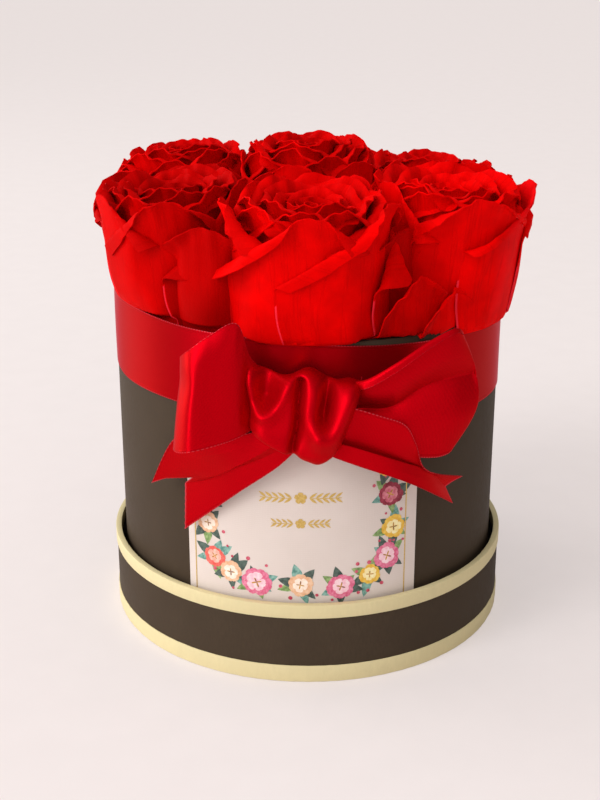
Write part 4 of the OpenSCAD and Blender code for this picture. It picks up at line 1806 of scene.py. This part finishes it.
    def flat_petal(self, cut: PetalCut, rng: np.random.Generator) -> tuple[np.ndarray, ...]:
        """One petal laid flat, with its waves and its lips turned over.

        Args:
            cut: Its size and its lips.
            rng: Source of its unevenness.

        Returns:
            Places across, up and out, the shares across, and the texture places.
        """
        u = np.union1d(np.linspace(-1, 1, self.columns), [-self.edge, self.edge])[:, None]
        v = cut.levels[None, :]
        fall = np.where(u < cut.apex, cut.falls[0], cut.falls[1])
        point = 1.0 + self.tip_point * abs(cut.apex)
        top = cut.length * (1 - self.shoulder * np.abs(u - cut.apex) ** point * fall)
        s = v * top
        widening = np.clip(s / (self.full_width * cut.length), 0, 1)
        x = u * cut.half * (cut.foot + (1 - cut.foot) * np.sin(np.pi / 2 * widening))
        places = np.stack([np.broadcast_to(u * self.flat_width * MM, s.shape), s * MM], axis=2)
        wave = rng.uniform(0, 2 * np.pi, len(PETAL_WAVES) + len(PETAL_RUFFLES))
        out = np.zeros_like(s)
        for (tall, across, up), start in zip(PETAL_WAVES, wave):
            out = out + tall * smooth_step(s, *self.lift_zone) * np.sin(across * x + up * s + start)
        ruffles = zip(PETAL_RUFFLES, wave[len(PETAL_WAVES) :])
        ruffle = sum(tall * np.sin(across * x + start) for (tall, across), start in ruffles)
        out = out + (s / top) ** self.ruffle_ease * min(1, cut.curl / self.full_curl) * ruffle
        tip = (cut.apex * cut.half, cut.length)
        for side, drop, turn in zip((-1, 1), cut.falls, cut.turns):
            end = (side * cut.half, cut.length * (1 - drop))
            curl = cut.curl * rng.uniform(*self.curls)
            x, s, out = self.rolled(x, s, out, side, tip, end, curl, turn)
        return x, s, out, u, places

    def about_axis(
        self, corners: np.ndarray, cut: PetalCut, start: float, spiral: float, rng: np.random.Generator
    ) -> tuple[np.ndarray, np.ndarray, np.ndarray]:
        """One petal bent along its line and about the rose's axis.

        Args:
            corners: Points of radius and height in millimetres that its line goes through.
            cut: Its size and its lips.
            start: Direction of its middle in degrees.
            spiral: How far one side stands out more than the other.
            rng: Source of its unevenness.

        Returns:
            Grid of points in millimetres, of shape (columns, rows, 3), its texture places, and
            its tone: painted shade at its foot and sides, and a painted highlight on its side edges.
        """
        line, reach, climb = self.petal_line(corners)
        x, s, out, u, places = self.flat_petal(cut, rng)
        out = out + spiral * u * smooth_step(s, *self.lift_zone)
        at = s * reach[-2] / cut.length
        near = np.interp(at, reach, line[:, 0])
        heading = np.interp(at, reach, climb)
        r = near + out * np.sin(heading)
        z = np.interp(at, reach, line[:, 1]) - out * np.cos(heading)
        angle = math.radians(start) + x / np.maximum(near, self.least_bend * line[-2, 0])
        # Painted shade: darker at the foot and sides, where neighbours shade the petal; painted highlight: a
        # pale line low on the side edges
        foot = 1 - smooth_step(places[..., 1] / MM, *self.foot_zone)
        side = smooth_step(np.broadcast_to(np.abs(u), foot.shape), *self.side_zone)
        bare = (np.abs(u) > self.edge) & (cut.levels < self.bare_share)
        shade = self.foot_shade * foot + self.side_shade * side - self.pale * bare
        return np.stack([r * np.cos(angle), r * np.sin(angle), z], axis=2), places, shade

    def ring_petals(self, rose: RosePlace, rng: np.random.Generator) -> Iterator[tuple[np.ndarray, ...]]:
        """Petals of a rose's rings.

        Args:
            rose: The rose.
            rng: Source of their unevenness.

        Yields:
            Grid, texture places and tone of each petal, which holds its painted shade.
        """
        for depth, ring in enumerate(PETAL_RINGS):
            tall = self.height * rose.stature * (1 + rose.cup * ring.raised)
            corners = np.asarray(ring.line) * np.array([self.radius * rose.spread, tall])
            full = self.petal_line(corners)[1][-2]
            for number in range(ring.count):
                falls = ring.flap * rng.uniform(*self.flaps, 2) * np.array(self.flap_sides)
                cut = PetalCut(
                    length=full * rng.uniform(*self.lengths),
                    half=math.radians(ring.half_width) * corners[-1, 0],
                    foot=self.foot,
                    apex=rng.uniform(*self.tips_off),
                    falls=tuple(falls),
                    turns=(self.turn_over, self.turn_over),
                    curl=ring.curl,
                    levels=self.levels(depth == 0),
                )
                start = rose.turn + ring.first + number * 360 / ring.count + rng.uniform(*self.swings)
                grid, places, shade = self.about_axis(corners, cut, start, -self.spiral, rng)
                # Painted shade: the rose's depth darkens the whole bloom and inner rings are drawn darker;
                # the random part is the petals' own tone
                shade = shade + rose.depth + rng.uniform(*self.shades) + self.ring_shade * depth
                yield grid, places, shade

    def gap_petal(self, gap: GapPetal, rng: np.random.Generator) -> tuple[np.ndarray, ...]:
        """Petal in a gap between two roses.

        Args:
            gap: The petal.
            rng: Source of its unevenness.

        Returns:
            Its grid in millimetres, texture places and tone, which holds its painted shade.
        """
        corners = np.array(GAP_LINE) * np.array([gap.radius, gap.height])
        full = self.petal_line(corners)[1][-2]
        cut = PetalCut(
            full, gap.half, foot=0.85, apex=0.2, falls=(0.5, 0.35), turns=(1.1, 1.1), curl=2.6,
            levels=self.levels(True),
        )
        grid, places, shade = self.about_axis(corners, cut, gap.angle, 0.0, rng)
        way = math.radians(gap.angle)
        foot = np.array([gap.from_middle * math.cos(way), gap.from_middle * math.sin(way), self.base])
        # The gap's depth is painted shade over the whole petal
        return grid + foot, places, shade + gap.depth

    def bloom(self, rose: RosePlace, seed: int, finish: bpy.types.Material) -> None:
        """Makes one bloom and puts it in the box.

        Args:
            rose: Its place.
            seed: Seed of its unevenness.
            finish: Its material.
        """
        rng = np.random.default_rng(seed)
        parts = MeshParts()
        middle = rose.angle is None
        around = [0, 60, 120, 180, 240, 300] if middle else [120, 180, 240]
        lean = 0.0 if middle else math.radians(self.lean)
        away = 0 if middle else self.ring_r
        turn = math.radians(rose.angle or 0)
        for grid, places, tone in self.ring_petals(rose, rng):
            xy = self.pressed(grid[..., :2], around)
            x = xy[..., 0] * math.cos(lean) + grid[..., 2] * math.sin(lean) + away
            z = grid[..., 2] * math.cos(lean) - xy[..., 0] * math.sin(lean) + self.base + rose.lift
            world = np.stack(
                [
                    x * math.cos(turn) - xy[..., 1] * math.sin(turn),
                    x * math.sin(turn) + xy[..., 1] * math.cos(turn),
                    z,
                ],
                axis=2,
            )
            parts.add_sheet(self.over_rim(world, rose) * MM, self.petal * MM, places, tone)
        tucked = replace(rose, over=min(rose.over, self.tuck), sag=min(rose.sag, self.tuck_sag))
        for gap in GAP_PETALS:
            if gap.rose == rose.name:
                world, places, tone = self.gap_petal(gap, rng)
                parts.add_sheet(self.over_rim(world, tucked) * MM, self.petal * MM, places, tone)
        piece = parts.build(f"rose_{rose.name}_petals", finish, sharp=70)
        settle(piece, Body.BOX, "rose_petal", f"rose_bloom_{rose.name}")

    def build(self) -> None:
        """Makes all seven blooms."""
        finish = RosePetal().material()
        for i, rose in enumerate(ROSE_PLACES):
            self.bloom(rose, SEED * 100 + i, finish)


@dataclass(frozen=True)
class Lamp:
    """Soft lamp that faces the box: its place in metres, its width and height, and its power."""

    name: str
    at: tuple[float, float, float]
    width: float
    height: float
    power: float


@dataclass
class Studio:
    """Pale floor, soft light and the camera at the photograph's view."""

    camera_at: tuple[float, float, float] = (-3.09 * MM, -511.75 * MM, 272.89 * MM)
    pitch: float = 20.44
    focal_px: float = 1350.0
    frame_px: float = 800.0
    sensor: float = 36.0
    clip: tuple[float, float] = (0.01, 50)
    floor_reach: float = 6.0
    floor_drop: float = 0.2 * MM
    bright_side: tuple[float, float, float] = (-0.35, -0.1, 0.93)
    dim: float = 0.17
    bright: float = 1.0
    sky_ease: float = 2.5
    sky_colour: str = "#FFFCFA"
    backdrop: str = "#F2E9E7"
    key: float = 1.05
    key_angle: float = 28.0
    key_from: tuple[float, float, float] = (-0.62, -0.48, 0.62)
    aim: tuple[float, float, float] = (0, 0, 0.1)
    lamps: Sequence[Lamp] = (
        Lamp("side", (-1.3, 0.5, 0.45), 0.8, 0.8, 7.5),
        Lamp("fill", (0.4, -1.3, 0.9), 1.2, 0.8, 2.4),
        Lamp("window", (-0.95, -0.7, 0.35), 0.3, 0.9, 4.4),
    )

    def floor(self) -> None:
        """Makes the floor, a hair under the box."""
        mesh = bpy.data.meshes.new("floor")
        corners = ((-1, -1), (1, -1), (1, 1), (-1, 1))
        points = [(x * self.floor_reach, y * self.floor_reach, -self.floor_drop) for x, y in corners]
        mesh.from_pydata(points, [], [(0, 1, 2, 3)])
        mesh.materials.append(FloorCloth().material())
        link(bpy.data.objects.new("floor", mesh))

    def sky(self) -> None:
        """Makes a sky that is brighter overhead and to the left, and a pale backdrop in view."""
        world = bpy.data.worlds.new("studio")
        world.use_nodes = True
        bpy.context.scene.world = world
        tree = world.node_tree
        tree.nodes.clear()
        place = add_node(tree, "ShaderNodeTexCoord").outputs["Generated"]
        sides = {0: place, 1: self.bright_side}
        facing = add_node(tree, "ShaderNodeVectorMath", sides, operation="DOT_PRODUCT").outputs["Value"]
        gain = add_node(tree, "ShaderNodeMapRange", {0: facing, 1: -1.0}).outputs[0]
        eased = add_node(tree, "ShaderNodeMath", {0: gain, 1: self.sky_ease}, operation="POWER").outputs[0]
        strength = add_node(tree, "ShaderNodeMapRange", {0: eased, 3: self.dim, 4: self.bright}).outputs[0]
        shades = ({"Color": linear(self.sky_colour), "Strength": strength}, {"Color": linear(self.backdrop)})
        sky, backdrop = (add_node(tree, "ShaderNodeBackground", shade).outputs[0] for shade in shades)
        seen = add_node(tree, "ShaderNodeLightPath").outputs["Is Camera Ray"]
        mixed = add_node(tree, "ShaderNodeMixShader", {0: seen, 1: sky, 2: backdrop}).outputs[0]
        add_node(tree, "ShaderNodeOutputWorld", {"Surface": mixed})

    def light(self, light: bpy.types.Light, at: Vector, way: Vector) -> None:
        """Hangs a light.

        Args:
            light: The light.
            at: Its place.
            way: Direction that it shines from.
        """
        hung = link(bpy.data.objects.new(light.name, light))
        hung.location = at
        hung.rotation_euler = way.to_track_quat("Z", "Y").to_euler()

    def lights(self) -> None:
        """Makes a soft key from the upper left, and the lamps."""
        key = bpy.data.lights.new("key", "SUN")
        key.energy = self.key
        key.angle = math.radians(self.key_angle)
        self.light(key, Vector(), Vector(self.key_from))
        for lamp in self.lamps:
            light = bpy.data.lights.new(lamp.name, "AREA")
            light.shape = "RECTANGLE"
            light.size, light.size_y, light.energy = lamp.width, lamp.height, lamp.power
            self.light(light, Vector(lamp.at), Vector(lamp.at) - Vector(self.aim))

    def camera(self) -> None:
        """Makes the camera."""
        data = bpy.data.cameras.new("camera")
        data.sensor_width = self.sensor
        data.lens = self.focal_px * self.sensor / self.frame_px
        data.clip_start, data.clip_end = self.clip
        camera = link(bpy.data.objects.new("camera", data))
        camera.location = self.camera_at
        camera.rotation_euler = (math.radians(90 - self.pitch), 0, 0)
        bpy.context.scene.camera = camera

    def build(self) -> None:
        """Sets up the view and the light."""
        bpy.context.scene.view_settings.view_transform = "Standard"
        self.camera()
        self.sky()
        self.lights()
        self.floor()


def main() -> None:
    """Dresses the part and reports each piece."""
    logging.basicConfig(level=logging.INFO, format="%(name)s: %(message)s")
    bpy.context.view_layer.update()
    Studio().build()
    CoveredBoard().build()
    Label().build()
    RibbonBand().build()
    Bow().build()
    Roses().build()


if __name__ == "__main__":
    main()
